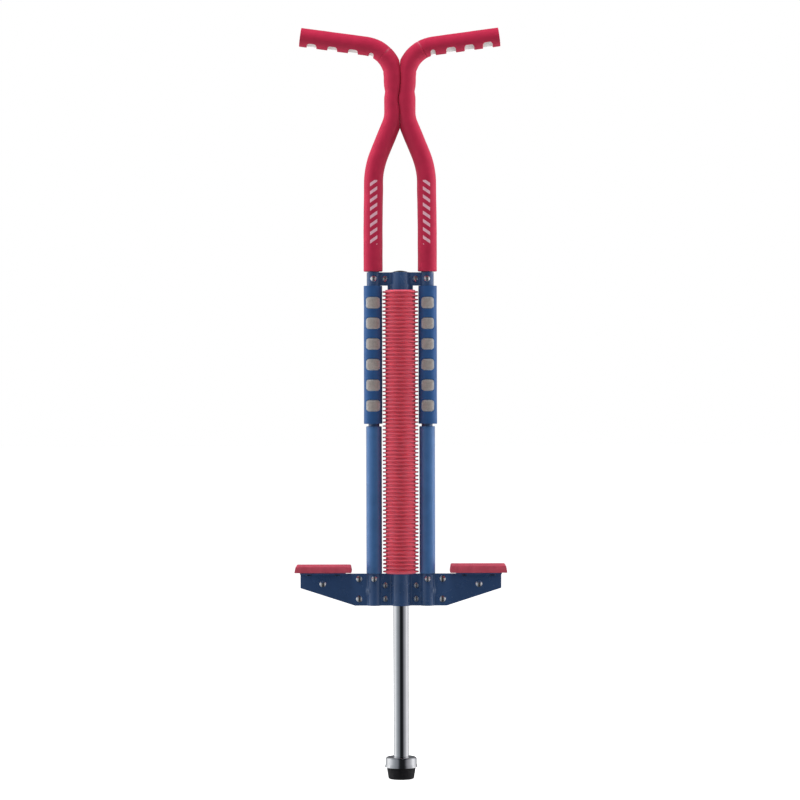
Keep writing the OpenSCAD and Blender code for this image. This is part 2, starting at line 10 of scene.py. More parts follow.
import logging
import math
from collections.abc import Callable, Iterator, Sequence
from contextlib import contextmanager
from dataclasses import dataclass, field
from enum import Enum

import bmesh
import bpy
import numpy as np
from mathutils import Matrix, Vector, noise


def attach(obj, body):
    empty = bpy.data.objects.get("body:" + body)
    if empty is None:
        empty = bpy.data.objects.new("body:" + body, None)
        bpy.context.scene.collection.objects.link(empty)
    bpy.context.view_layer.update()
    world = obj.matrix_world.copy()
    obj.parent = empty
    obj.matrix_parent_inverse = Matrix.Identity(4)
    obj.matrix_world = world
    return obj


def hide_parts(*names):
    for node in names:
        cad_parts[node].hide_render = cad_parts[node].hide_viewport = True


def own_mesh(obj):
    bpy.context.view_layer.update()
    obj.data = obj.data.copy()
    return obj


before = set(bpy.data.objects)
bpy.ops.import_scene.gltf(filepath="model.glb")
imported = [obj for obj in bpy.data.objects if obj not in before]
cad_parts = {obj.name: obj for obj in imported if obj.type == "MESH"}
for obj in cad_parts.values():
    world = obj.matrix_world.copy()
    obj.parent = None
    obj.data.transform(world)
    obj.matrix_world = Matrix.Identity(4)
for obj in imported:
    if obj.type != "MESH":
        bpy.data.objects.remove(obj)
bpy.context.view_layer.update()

Point = tuple[float, float]
Colour = tuple[float, float, float]
MM = 0.001
UP = (0.0, 0.0, 1.0)
log = logging.getLogger("pogo_stick")


class Side(Enum):
    """The two sides of the stick, seen from the front."""

    LEFT = "left"
    RIGHT = "right"

    def pick(self, left: float, right: float) -> float:
        """Returns the first value on the left side, and the second on the right."""
        return left if self is Side.LEFT else right


class Body(Enum):
    """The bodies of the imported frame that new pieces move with."""

    FRAME = "frame"
    PISTON = "piston"


# Modelling ------------------------------------------------------------------------


def pick(piece: bpy.types.Object) -> None:
    """Selects one object alone and makes it active.

    Args:
        piece: The object to work on.
    """
    bpy.ops.object.select_all(action="DESELECT")
    piece.select_set(True)
    bpy.context.view_layer.objects.active = piece


@contextmanager
def editing(piece: bpy.types.Object) -> Iterator[None]:
    """Holds an object in edit mode with nothing selected in it.

    Args:
        piece: The mesh object to edit.
    """
    pick(piece)
    bpy.ops.object.mode_set(mode="EDIT")
    bpy.ops.mesh.select_all(action="DESELECT")
    yield
    bpy.ops.object.mode_set(mode="OBJECT")


def named(name: str) -> bpy.types.Object:
    """Names the primitive just added and puts its place into its mesh.

    Args:
        name: The piece's name.

    Returns:
        The object, at the origin, unturned and unscaled.
    """
    piece = bpy.context.object
    piece.name = piece.data.name = name
    pick(piece)
    bpy.ops.object.transform_apply(location=True, rotation=True, scale=True)
    return piece


def select_where(piece: bpy.types.Object, kind: str, test: Callable[[Vector], bool]) -> None:
    """Selects, in edit mode, the elements all of whose vertices pass a test of place.

    Args:
        piece: The object in edit mode.
        kind: "verts", "edges" or "faces".
        test: Says whether a vertex at this place counts.
    """
    mesh = bmesh.from_edit_mesh(piece.data)
    for item in [*mesh.verts, *mesh.edges, *mesh.faces]:
        item.select = False
    for item in getattr(mesh, kind):
        corners = [item] if kind == "verts" else item.verts
        if all(test(corner.co) for corner in corners):
            item.select_set(True)
    bmesh.update_edit_mesh(piece.data)


def extrude(x: float = 0.0, y: float = 0.0, z: float = 0.0) -> None:
    """Extrudes what is selected and moves it."""
    bpy.ops.mesh.extrude_region_move(TRANSFORM_OT_translate={"value": (x, y, z)})


def spin(steps: int, turn: float, centre: Sequence[float], axis: Sequence[float]) -> None:
    """Extrudes what is selected around an axis.

    Args:
        steps: Number of steps along the arc.
        turn: Angle in radians, by the right-hand rule.
        centre: A point on the axis.
        axis: Direction of the axis.
    """
    bpy.ops.mesh.spin(steps=steps, angle=-turn, center=centre, axis=axis)


def modify(piece: bpy.types.Object, kind: str, **settings: object) -> None:
    """Adds one modifier to a piece and applies it.

    Args:
        piece: The object to change.
        kind: Blender's name of the modifier type.
        **settings: The modifier's settings.
    """
    pick(piece)
    step = piece.modifiers.new(kind.lower(), kind)
    for key, value in settings.items():
        setattr(step, key, value)
    bpy.ops.object.modifier_apply(modifier=step.name)


def close_up(piece: bpy.types.Object, fill: bool = False) -> None:
    """Merges doubled vertices, may fill open rims, and turns all faces outwards.

    Args:
        piece: The object to clean.
        fill: Whether open rims are closed with a face.
    """
    with editing(piece):
        bpy.ops.mesh.select_all(action="SELECT")
        bpy.ops.mesh.remove_doubles(threshold=1e-6)
        if fill:
            bpy.ops.mesh.fill_holes(sides=0)
        bpy.ops.mesh.normals_make_consistent(inside=False)


def lathe(name: str, profile: Sequence[Point], sides: int = 96) -> bpy.types.Object:
    """Turns a profile around the z axis.

    Args:
        name: The piece's name.
        profile: Points as (radius, height).
        sides: Steps around the axis.

    Returns:
        The turned piece, with its faces outwards.
    """
    first = profile[0]
    bpy.ops.mesh.primitive_plane_add(size=MM, location=(first[0], 0, first[1]))
    piece = named(name)
    with editing(piece):
        bpy.ops.mesh.select_all(action="SELECT")
        bpy.ops.mesh.merge(type="CENTER")
        for (r0, z0), (r1, z1) in zip(profile, profile[1:]):
            step = {"value": (r1 - r0, 0, z1 - z0)}
            bpy.ops.mesh.extrude_vertices_move(TRANSFORM_OT_translate=step)
        bpy.ops.mesh.select_all(action="SELECT")
        spin(sides, math.tau, (0, 0, 0), UP)
    close_up(piece)
    return piece


def rod(name: str, radius: float, at: Sequence[float], height: float) -> bpy.types.Object:
    """Adds an upright cylinder that serves as a cutting tool.

    Args:
        name: The tool's name.
        radius: Its radius.
        at: The middle of its lower end.
        height: Its height.

    Returns:
        The cylinder.
    """
    middle = (at[0], at[1], at[2] + height / 2)
    bpy.ops.mesh.primitive_cylinder_add(
        vertices=96, radius=radius, depth=height, location=middle
    )
    return named(name)


def block(name: str, size: Sequence[float], radius: float, axis: int) -> bpy.types.Object:
    """Adds a block at the origin whose edges along one axis are rounded.

    Args:
        name: The block's name.
        size: Its lengths along x, y and z.
        radius: Radius of the rounded edges.
        axis: 0, 1 or 2 for the axis that the rounded edges follow.

    Returns:
        The block.
    """
    bpy.ops.mesh.primitive_cube_add(size=1.0, scale=tuple(size))
    piece = named(name)
    with editing(piece):
        mesh = bmesh.from_edit_mesh(piece.data)
        for edge in mesh.edges:
            along = (edge.verts[0].co - edge.verts[1].co)[axis]
            edge.select_set(abs(along) > size[axis] / 2)
        bmesh.update_edit_mesh(piece.data)
        bpy.ops.mesh.bevel(offset=radius, segments=6, affect="EDGES")
    return piece


def combine(
    piece: bpy.types.Object, tools: Sequence[bpy.types.Object], how: str = "DIFFERENCE"
) -> None:
    """Cuts tools out of a piece, or joins them to it, and removes them.

    Args:
        piece: The object to change.
        tools: The objects to cut or join with.
        how: "DIFFERENCE" or "UNION".
    """
    for tool in tools:
        modify(piece, "BOOLEAN", operation=how, object=tool, solver="EXACT")
        bpy.data.objects.remove(tool)


def soften(piece: bpy.types.Object, voxel: float, rounds: int) -> None:
    """Rebuilds a foam piece in even small faces and rubs its edges round.

    Args:
        piece: The object to soften.
        voxel: Size of the new faces.
        rounds: How many times the surface is smoothed.
    """
    pick(piece)
    piece.data.remesh_voxel_size = voxel
    piece.data.remesh_voxel_adaptivity = 0.0
    bpy.ops.object.voxel_remesh()
    modify(piece, "SMOOTH", factor=0.5, iterations=rounds)


def points(piece: bpy.types.Object) -> np.ndarray:
    """Returns a mesh's vertices as an array of rows (x, y, z)."""
    flat = np.empty(len(piece.data.vertices) * 3)
    piece.data.vertices.foreach_get("co", flat)
    return flat.reshape(-1, 3)


def place_points(piece: bpy.types.Object, rows: np.ndarray) -> None:
    """Writes rows (x, y, z) back to a mesh's vertices."""
    piece.data.vertices.foreach_set("co", rows.ravel())
    piece.data.update()


def ripple(piece: bpy.types.Object, height: float, scale: float) -> None:
    """Gives a foam surface the slight unevenness of a moulding.

    Args:
        piece: The object to change.
        height: The most that a point moves.
        scale: Waves per metre.
    """
    mesh = piece.data
    normals = np.empty(len(mesh.vertices) * 3)
    mesh.vertices.foreach_get("normal", normals)
    rows = points(piece)
    wave = np.array([noise.noise(Vector(row) * scale) for row in rows])
    place_points(piece, rows + normals.reshape(-1, 3) * (wave * height)[:, None])


def mark(piece: bpy.types.Object, name: str, values: np.ndarray) -> None:
    """Stores one number for each vertex, for a finish to read.

    Args:
        piece: The object to mark.
        name: The attribute's name.
        values: One number for each vertex.
    """
    attribute = piece.data.attributes.new(name, "FLOAT", "POINT")
    attribute.data.foreach_set("value", values.astype(np.float32))


def flip_left(piece: bpy.types.Object) -> None:
    """Mirrors a right-hand piece to the left side."""
    with editing(piece):
        bpy.ops.mesh.select_all(action="SELECT")
        bpy.ops.transform.resize(value=(-1, 1, 1), center_override=(0, 0, 0))
        bpy.ops.mesh.flip_normals()


# Finishes -------------------------------------------------------------------------


class Graph:
    """A node tree, drawn up a node at a time."""

    def __init__(self, tree: bpy.types.NodeTree) -> None:
        """Takes a node tree.

        Args:
            tree: The tree of a material or of the world.
        """
        self.tree = tree

    def node(self, kind: str, *sources: object, **settings: object) -> bpy.types.Node:
        """Adds a node.

        Args:
            kind: The node type without its "ShaderNode" start.
            *sources: An output or a number for each input in turn, or None to skip it.
            **settings: The node's properties.

        Returns:
            The node.
        """
        made = self.tree.nodes.new("ShaderNode" + kind)
        for key, value in settings.items():
            setattr(made, key, value)
        for socket, source in zip(made.inputs, sources):
            if isinstance(source, bpy.types.NodeSocket):
                self.tree.links.new(source, socket)
            elif source is not None:
                socket.default_value = source
        return made

    def math(self, operation: str, *sources: object) -> bpy.types.NodeSocket:
        """Returns the result of one sum."""
        return self.node("Math", *sources, operation=operation).outputs[0]

    def span(self, source: object, low: float, high: float, *to: float) -> bpy.types.NodeSocket:
        """Returns a value carried from one span to another and kept inside it."""
        ends = to or (0.0, 1.0)
        return self.node("MapRange", source, low, high, *ends).outputs[0]

    def shades(
        self, source: bpy.types.NodeSocket, *stops: tuple[float, Colour]
    ) -> bpy.types.NodeSocket:
        """Returns a colour ramp.

        Args:
            source: The value that moves along the ramp.
            *stops: Places from 0 to 1 with their linear colours.

        Returns:
            The ramp's colour.
        """
        made = self.node("ValToRGB", source)
        ramp = made.color_ramp
        while len(ramp.elements) < len(stops):
            ramp.elements.new(0.5)
        for element, (place, colour) in zip(ramp.elements, stops):
            element.position = place
            element.color = (*colour, 1)
        return made.outputs["Color"]

    def blend(self, amount: object, under: object, over: object) -> bpy.types.NodeSocket:
        """Returns one colour laid over another.

        Args:
            amount: How much of the upper colour shows.
            under: The lower colour, or its output.
            over: The upper colour, or its output.

        Returns:
            The blended colour.
        """
        made = self.node("Mix", amount, data_type="RGBA")
        for socket, source in ((made.inputs[6], under), (made.inputs[7], over)):
            if isinstance(source, bpy.types.NodeSocket):
                self.tree.links.new(source, socket)
            else:
                socket.default_value = (*source, 1)
        return made.outputs[2]


class NodeSheet(Graph):
    """The node tree of one material around its shader."""

    def __init__(self, material: bpy.types.Material) -> None:
        """Takes up a material.

        Args:
            material: A material that uses nodes.
        """
        super().__init__(material.node_tree)
        self.material = material
        self.shader = self.tree.nodes["Principled BSDF"]
        self.normal: bpy.types.NodeSocket | None = None

    @classmethod
    def start(
        cls, name: str, colour: Colour, roughness: float, metallic: float = 0.0
    ) -> NodeSheet:
        """Starts a new material.

        Args:
            name: The material's name.
            colour: Linear base colour.
            roughness: From 0, polished, to 1, matt.
            metallic: 1 for bare metal.

        Returns:
            The sheet of the new material.
        """
        material = bpy.data.materials.new(name)
        material.use_nodes = True
        sheet = cls(material)
        sheet.shader.inputs["Base Color"].default_value = (*colour, 1)
        sheet.set(Roughness=roughness, Metallic=metallic)
        return sheet

    def set(self, **values: float) -> None:
        """Sets plain numbers on the shader, such as Coat_Weight=0.5."""
        for key, value in values.items():
            self.shader.inputs[key.replace("_", " ")].default_value = value

    def feed(self, name: str, source: bpy.types.NodeSocket) -> None:
        """Links a socket of the shader to an output."""
        self.tree.links.new(source, self.shader.inputs[name])

    def place(self, stretch: Sequence[float] = (1, 1, 1)) -> bpy.types.NodeSocket:
        """Returns object coordinates, stretched along the axes."""
        plain = self.node("TexCoord").outputs["Object"]
        return self.node("Mapping", plain, None, None, tuple(stretch)).outputs[0]

    def noise(
        self, scale: float, detail: float = 3.0, stretch: Sequence[float] = (1, 1, 1)
    ) -> bpy.types.NodeSocket:
        """Returns cloudy noise from 0 to 1.

        Args:
            scale: Clouds per metre.
            detail: Octaves of finer noise.
            stretch: Scale along each axis.

        Returns:
            The noise's output.
        """
        made = self.node("TexNoise", self.place(stretch), None, scale, detail, 0.55)
        return made.outputs["Fac"]

    def cells(self, scale: float) -> bpy.types.NodeSocket:
        """Returns the distance to the middle of foam cells, this many to the metre."""
        made = self.node("TexVoronoi", self.place(), None, scale)
        return made.outputs["Distance"]

    def attribute(self, name: str) -> bpy.types.NodeSocket:
        """Returns a number stored on the mesh."""
        return self.node("Attribute", attribute_name=name).outputs["Fac"]

    def bump(self, height: bpy.types.NodeSocket, depth: float, strength: float = 1.0) -> None:
        """Adds relief to the surface.

        Args:
            height: The relief, from 0 to 1.
            depth: Its depth in metres.
            strength: From 0 to 1.
        """
        made = self.node("Bump", strength, depth)
        self.tree.links.new(height, made.inputs["Height"])
        if self.normal is not None:
            self.tree.links.new(self.normal, made.inputs["Normal"])
        self.normal = made.outputs["Normal"]
        self.feed("Normal", self.normal)


def tint(colour: Colour, factor: float) -> Colour:
    """Returns a lighter or darker shade of a colour."""
    return tuple(min(1.0, part * factor) for part in colour)


@dataclass(frozen=True)
class FoamSkin:
    """Closed foam with a moulded skin."""

    name: str
    colour: Colour
    torn: Colour
    roughness: float = 0.5

    def material(self) -> bpy.types.Material:
        """Returns mottled foam with fine pores, paler where its edge is torn."""
        sheet = NodeSheet.start(self.name, self.colour, self.roughness)
        cloud = sheet.noise(70, 4)
        skin = sheet.shades(cloud, (0.3, tint(self.colour, 0.92)), (0.7, tint(self.colour, 1.06)))
        worn = sheet.math("MULTIPLY", sheet.attribute("wear_and_highlight"), sheet.span(cloud, 0.35, 0.6))
        sheet.feed("Base Color", sheet.blend(worn, skin, self.torn))
        sheet.feed("Roughness", sheet.span(
            sheet.noise(420, 2), 0.3, 0.7, self.roughness - 0.07, self.roughness + 0.1))
        sheet.bump(sheet.noise(230, 2), 0.00035, 0.35)
        sheet.bump(sheet.noise(1900, 2), 0.00012, 0.35)
        sheet.set(Sheen_Weight=0.03, Sheen_Roughness=0.4, Specular_IOR_Level=0.26)
        return sheet.material


@dataclass(frozen=True)
class PrintedFoam:
    """Red foam with a row of plain slanting bars printed on its front."""

    foam: FoamSkin
    ink: Colour
    middle_x: float
    low_z: float
    high_z: float
    half_width: float = 0.0052
    pitch: float = 0.0118
    bar: float = 0.42
    slant: float = 0.7

    def material(self) -> bpy.types.Material:
        """Returns the foam with its print."""
        made = self.foam.material()
        made.name = self.foam.name + "_printed"
        sheet = NodeSheet(made)
        base = sheet.shader.inputs["Base Color"].links[0].from_socket
        split = sheet.node("SeparateXYZ", sheet.place())
        x, y, z = split.outputs
        across = sheet.math("SUBTRACT", sheet.math("ABSOLUTE", x), self.middle_x)
        lean = sheet.math("MULTIPLY", across, self.slant)
        row = sheet.math("FRACT", sheet.math("DIVIDE", sheet.math("ADD", z, lean), self.pitch))
        masks = (
            sheet.math("LESS_THAN", sheet.math("ABSOLUTE", across), self.half_width),
            sheet.math("LESS_THAN", row, self.bar),
            sheet.math("GREATER_THAN", z, self.low_z),
            sheet.math("LESS_THAN", z, self.high_z),
            sheet.math("LESS_THAN", y, 0.0),
            sheet.span(sheet.noise(900, 3), 0.3, 0.42, 0.35, 0.85),
        )
        mask = masks[0]
        for part in masks[1:]:
            mask = sheet.math("MULTIPLY", mask, part)
        sheet.feed("Base Color", sheet.blend(mask, base, self.ink))
        return made


@dataclass(frozen=True)
class FoamCore:
    """Cut foam that shows its cells, and may be paler along a window's rim."""

    name: str
    colour: Colour
    rim: Colour | None = None

    def material(self) -> bpy.types.Material:
        """Returns matt foam with open cells and a little dirt."""
        sheet = NodeSheet.start(self.name, self.colour, 0.85)
        dirt = sheet.shades(
            sheet.noise(160, 5), (0.3, tint(self.colour, 0.8)), (0.72, tint(self.colour, 1.12)))
        if self.rim:
            dirt = sheet.blend(sheet.attribute("rim"), dirt, self.rim)
        cells = sheet.cells(750)
        sheet.feed("Base Color", sheet.blend(
            sheet.span(cells, 0.35, 0.75, 0.0, 0.35), dirt, tint(self.colour, 0.55)))
        sheet.bump(cells, 0.0003, 0.5)
        sheet.bump(sheet.noise(300, 3), 0.0003, 0.3)
        sheet.set(Specular_IOR_Level=0.25)
        return sheet.material


@dataclass(frozen=True)
class Plastic:
    """Moulded plastic with a thin gloss and fine rubbing marks."""

    name: str
    colour: Colour
    roughness: float
    coat: float = 0.0

    def material(self) -> bpy.types.Material:
        """Returns plastic with flow marks and long faint scratches."""
        sheet = NodeSheet.start(self.name, self.colour, self.roughness)
        sheet.feed("Base Color", sheet.shades(
            sheet.noise(55, 3), (0.3, tint(self.colour, 0.9)), (0.7, tint(self.colour, 1.08))))
        rubbed = sheet.noise(260, 4, (1, 1, 0.12))
        sheet.feed("Roughness", sheet.span(
            rubbed, 0.4, 0.75, self.roughness, self.roughness + 0.16))
        sheet.bump(sheet.noise(120, 2), 0.0002, 0.2)
        sheet.bump(sheet.noise(1500, 2), 0.00004, 0.3)
        sheet.set(Coat_Weight=self.coat, Coat_Roughness=0.12)
        return sheet.material


@dataclass(frozen=True)
class Bellows:
    """Red plastic of the spring cover, painted lighter between its ribs to fill the shade in the
    grooves.
    """

    name: str
    crest: Colour
    root: Colour
    root_r: float
    crest_r: float

    def material(self) -> bpy.types.Material:
        """Returns plastic coloured by its distance from the piston's axis, with the rib roots
        painted lighter to fill their shade.
        """
        sheet = NodeSheet.start(self.name, self.crest, 0.36)
        reach = sheet.node("VectorMath", sheet.place((1, 1, 0)), operation="LENGTH")
        height = sheet.span(reach.outputs["Value"], self.root_r, self.crest_r)
        dust = sheet.span(sheet.noise(60, 3), 0.35, 0.7, -0.06, 0.06)
        # Painted light: the root colour is lighter than the crest, lifting the shade that falls in
        # the grooves between the ribs.
        sheet.feed("Base Color", sheet.shades(
            sheet.math("ADD", height, dust), (0.1, self.root), (0.9, self.crest)))
        sheet.feed("Roughness", sheet.span(height, 0.0, 1.0, 0.55, 0.32))
        sheet.bump(sheet.noise(90, 2, (1, 1, 0.3)), 0.0001, 0.2)
        sheet.bump(sheet.noise(1300, 2), 0.00005, 0.3)
        sheet.shader.inputs["Subsurface Radius"].default_value = (1.0, 0.25, 0.25)
        sheet.set(Coat_Weight=0.12, Coat_Roughness=0.25, Subsurface_Weight=0.4,
                  Subsurface_Scale=0.003)
        return sheet.material


@dataclass(frozen=True)
class Paint:
    """Stoved paint on steel."""

    name: str
    colour: Colour
    roughness: float = 0.34
    scuffed: Colour = (0.16, 0.2, 0.27)
    # Pale blue laid on as a painted highlight where a piece marks it.
    dart_highlight: Colour = (0.26, 0.32, 0.42)

    def material(self) -> bpy.types.Material:
        """Returns paint with orange peel and small scuffs, and a pale painted highlight where a
        piece marks it, as on the foot bracket's darts.
        """
        sheet = NodeSheet.start(self.name, self.colour, self.roughness)
        base = sheet.shades(
            sheet.noise(30, 3), (0.3, tint(self.colour, 0.94)), (0.72, tint(self.colour, 1.07)))
        scuff = sheet.span(sheet.noise(150, 4, (0.35, 1, 1)), 0.7, 0.8, 0.0, 0.1)
        # Painted highlight: the marked places, the foot bracket's darts, turn pale blue as if they
        # caught light.
        bright = sheet.math("MULTIPLY", sheet.attribute("wear_and_highlight"), 0.55)
        base = sheet.blend(bright, base, self.dart_highlight)
        sheet.feed("Base Color", sheet.blend(scuff, base, self.scuffed))
        sheet.feed("Roughness", sheet.span(
            sheet.noise(90, 3), 0.35, 0.7, self.roughness - 0.02, self.roughness + 0.03))
        sheet.bump(sheet.noise(650, 2), 0.00003, 0.05)
        sheet.set(Coat_Weight=0.4, Coat_Roughness=0.15)
        return sheet.material


@dataclass(frozen=True)
class Metal:
    """Bare or plated metal with fine marks along or around it."""

    name: str
    colour: Colour
    roughness: float
    streak: tuple[float, float, float] = (1, 1, 0.04)
    depth: float = 0.00002

    def material(self) -> bpy.types.Material:
        """Returns metal with drawn-out marks and a little haze."""
        sheet = NodeSheet.start(self.name, self.colour, self.roughness, 1.0)
        sheet.feed("Base Color", sheet.shades(
            sheet.noise(60, 4), (0.3, tint(self.colour, 0.93)), (0.7, self.colour)))
        marks = sheet.noise(900, 3, self.streak)
        sheet.feed("Roughness", sheet.span(
            marks, 0.45, 0.8, self.roughness, self.roughness + 0.1))
        sheet.bump(marks, self.depth, 0.25)
        return sheet.material


@dataclass(frozen=True)
class Rubber:
    """Moulded rubber with patches of dust."""

    name: str
    colour: Colour
    dust: Colour
    dusty: float = 0.3

    def material(self) -> bpy.types.Material:
        """Returns matt rubber with grain, scuffs and dust."""
        sheet = NodeSheet.start(self.name, self.colour, 0.7)
        base = sheet.shades(
            sheet.noise(75, 4), (0.3, tint(self.colour, 0.85)), (0.7, tint(self.colour, 1.12)))
        dust = sheet.span(sheet.noise(240, 6), 0.45, 0.75, 0.0, self.dusty)
        sheet.feed("Base Color", sheet.blend(dust, base, self.dust))
        sheet.feed("Roughness", sheet.span(sheet.noise(500, 3), 0.3, 0.7, 0.58, 0.82))
        sheet.bump(sheet.noise(1100, 3), 0.0001, 0.4)
        sheet.set(Specular_IOR_Level=0.35)
        return sheet.material


class Finishes:
    """Every finish of the stick, made once."""

    def __init__(self) -> None:
        """Makes the materials."""
        red = FoamSkin("red_foam_skin", (0.57, 0.0265, 0.077), (0.92, 0.4, 0.49), 0.55)
        self.foam_red = red.material()
        self.foam_printed = PrintedFoam(
            red, (0.98, 0.62, 0.72), 0.0382, 0.774, 0.867).material()
        self.grip_core = FoamCore("light_grey_foam", (0.92, 0.88, 0.84)).material()
        self.pad_blue = FoamSkin(
            "blue_foam_skin", (0.034, 0.108, 0.288), (0.2, 0.3, 0.45), 0.42).material()
        self.pad_core = FoamCore(
            "grey_foam", (0.47, 0.42, 0.39), (0.54, 0.56, 0.58)).material()
        self.sleeve = Plastic("blue_sleeve_plastic", (0.064, 0.176, 0.41), 0.3, 0.4).material()
        # The cover's root colour is lighter than its crest: painted light in the grooves.
        self.cover = Bellows(
            "red_cover_plastic", (0.8, 0.115, 0.165), (0.94, 0.17, 0.24), 0.0215, 0.0259
        ).material()
        self.tread = Rubber(
            "red_tread_rubber", (0.58, 0.08, 0.125), (0.62, 0.3, 0.33), 0.1).material()
        self.frame_paint = Paint("dark_blue_tube_paint", (0.046, 0.1, 0.225), 0.26).material()
        self.bracket_paint = Paint(
            "dark_blue_bracket_paint", (0.047, 0.103, 0.238), 0.26).material()
        self.chrome = Metal("chrome_plate", (0.77, 0.78, 0.8), 0.05).material()
        self.rivet = Metal(
            "bright_rivet_steel", (0.98, 0.98, 0.99), 0.26, (1, 1, 1), 0.00003).material()
        self.zinc = Metal("zinc_plate", (0.5, 0.52, 0.54), 0.32, (1, 1, 1)).material()
        self.screw = Metal("dull_screw_steel", (0.07, 0.08, 0.11), 0.5, (1, 1, 1)).material()
        self.spring = Metal("oiled_spring_steel", (0.3, 0.31, 0.33), 0.3, (1, 1, 1)).material()
        self.nylon = Plastic("natural_nylon", (0.78, 0.76, 0.68), 0.4).material()
        self.black_plastic = Plastic("black_plastic", (0.018, 0.018, 0.02), 0.38).material()
        self.black_rubber = Rubber(
            "black_rubber", (0.011, 0.011, 0.013), (0.11, 0.1, 0.095), 0.12).material()


def hand_over(
    piece: bpy.types.Object,
    finish: bpy.types.Material,
    nodes: Sequence[str],
    body: Body = Body.FRAME,
    sharp: float = 40.0,
) -> None:
    """Dresses a finished piece and ties it to the frame.

    Args:
        piece: The finished mesh.
        finish: Its material.
        nodes: The CAD nodes that it stands for.
        body: The body that it moves with.
        sharp: Edges sharper than this many degrees stay crisp.
    """
    pick(piece)
    bpy.ops.object.shade_smooth_by_angle(angle=math.radians(sharp))
    piece.data.materials.clear()
    piece.data.materials.append(finish)
    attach(piece, body.value)
    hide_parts(*nodes)
    log.info("%s: %d faces, on %s", piece.name, len(piece.data.polygons), body.value)


# Frame tube and what is on it -----------------------------------------------------


@dataclass(frozen=True)
class TubeLine:
    """The centre line of the right frame tube, from its foot to the handle's end."""

    leg_x: float = 0.0385
    top_x: float = 0.009
    bend_z: float = 0.885
    bend_turn: float = math.radians(22.2)
    low_r: float = 0.115
    mid_r: float = 0.050
    handle_z: float = 1.0569
    handle_turn: float = math.radians(90 - 7.7)
    top_r: float = 0.046
    reach: float = 0.1443
    step: float = 0.004

    @property
    def low_start(self) -> float:
        """Height at which the leg starts to bend inwards."""
        return self.bend_z - self.low_r * math.tan(self.bend_turn / 2)

    @property
    def mid_end(self) -> float:
        """Height from which the tube is upright again."""
        run = (self.leg_x - self.top_x) / math.tan(self.bend_turn)
        return self.bend_z + run + self.mid_r * math.tan(self.bend_turn / 2)

    @property
    def top_start(self) -> float:
        """Height at which the bend into the handle starts."""
        return self.handle_z - self.top_r * math.tan(self.handle_turn / 2)

    @property
    def handle_length(self) -> float:
        """Length of the straight handle, from the end of the bend."""
        level = (self.reach - self.top_x) / math.sin(self.handle_turn)
        return level - self.top_r * math.tan(self.handle_turn / 2)

    def on_bend(self, turn: float) -> Vector:
        """Returns the point of the handle bend at a turn in radians."""
        return Vector((
            self.top_x + self.top_r * (1 - math.cos(turn)), 0,
            self.top_start + self.top_r * math.sin(turn),
        ))

    def middle(self, z: np.ndarray) -> tuple[np.ndarray, np.ndarray]:
        """Returns the centre line's x and its slope's cosine at heights above the leg."""
        rise = np.clip(self.mid_end - z, 0, self.mid_r * math.sin(self.bend_turn))
        over = np.clip(z - self.top_start, 0, self.top_r * 0.98)
        slant = np.maximum(
            self.mid_end - self.mid_r * math.sin(self.bend_turn) - z, 0)
        x = (self.top_x + self.mid_r - np.sqrt(self.mid_r**2 - rise**2)
             + slant * math.tan(self.bend_turn)
             + self.top_r - np.sqrt(self.top_r**2 - over**2))
        return x, np.sqrt(1 - (rise / self.mid_r) ** 2) * np.sqrt(1 - (over / self.top_r) ** 2)

    def section(self, turn: float) -> tuple[np.ndarray, np.ndarray, np.ndarray]:
        """Returns a section of the bend: its middle, the way along and the way outwards."""
        along = np.array((math.sin(turn), 0, math.cos(turn)))
        return np.array(self.on_bend(turn)), along, np.array((-along[2], 0, along[0]))

    def straight(self, x: float, z: float) -> None:
        """Extrudes the selected ring along a vector, in even steps."""
        length = math.hypot(x, z)
        steps = max(1, round(length / self.step))
        for _ in range(steps):
            extrude(x / steps, 0, z / steps)

    def arc(self, turn: float, radius: float, x: float, z: float) -> None:
        """Spins the selected ring about the point (x, z), in even steps.

        Args:
            turn: Turn towards +x in radians.
            radius: Radius of the bend.
            x: Place of the bend's centre.
            z: Height of the bend's centre.
        """
        steps = max(2, round(abs(turn) * radius / self.step))
        spin(steps, turn, (x, 0, z), (0, 1, 0))

    def upright(self, name: str, radius: float, low: float, turn: float) -> bpy.types.Object:
        """Sweeps an open tube from a height on the leg into the handle bend.

        Args:
            name: The piece's name.
            radius: Radius of the tube.
            low: Height of its lower end.
            turn: How far it follows the handle bend, in radians.

        Returns:
            The swept surface.
        """
        bpy.ops.mesh.primitive_circle_add(
            vertices=64, radius=radius, location=(self.leg_x, 0, low))
        piece = named(name)
        slant = (self.leg_x - self.top_x) / math.sin(self.bend_turn)
        slant -= (self.low_r + self.mid_r) * math.tan(self.bend_turn / 2)
        with editing(piece):
            bpy.ops.mesh.select_all(action="SELECT")
            self.straight(0, self.low_start - low)
            self.arc(-self.bend_turn, self.low_r, self.leg_x - self.low_r, self.low_start)
            self.straight(-slant * math.sin(self.bend_turn), slant * math.cos(self.bend_turn))
            self.arc(self.bend_turn, self.mid_r, self.top_x + self.mid_r, self.mid_end)
            self.straight(0, self.top_start - self.mid_end)
            self.arc(turn, self.top_r, self.top_x + self.top_r, self.top_start)
        close_up(piece)
        return piece

    def handle(self, name: str, radius: float, turn: float, length: float) -> bpy.types.Object:
        """Sweeps a closed bar from a turn of the handle bend along the handle.

        Args:
            name: The piece's name.
            radius: Radius of the bar.
            turn: Where it starts in the bend, in radians.
            length: Its length past the bend.

        Returns:
            The bar.
        """
        bpy.ops.mesh.primitive_circle_add(
            vertices=64, radius=radius, location=self.on_bend(turn), rotation=(0, turn, 0))
        piece = named(name)
        x, z = math.sin(self.handle_turn), math.cos(self.handle_turn)
        with editing(piece):
            bpy.ops.mesh.select_all(action="SELECT")
            self.arc(
                self.handle_turn - turn, self.top_r, self.top_x + self.top_r, self.top_start)
            self.straight(length * x, length * z)
        close_up(piece, fill=True)
        return piece

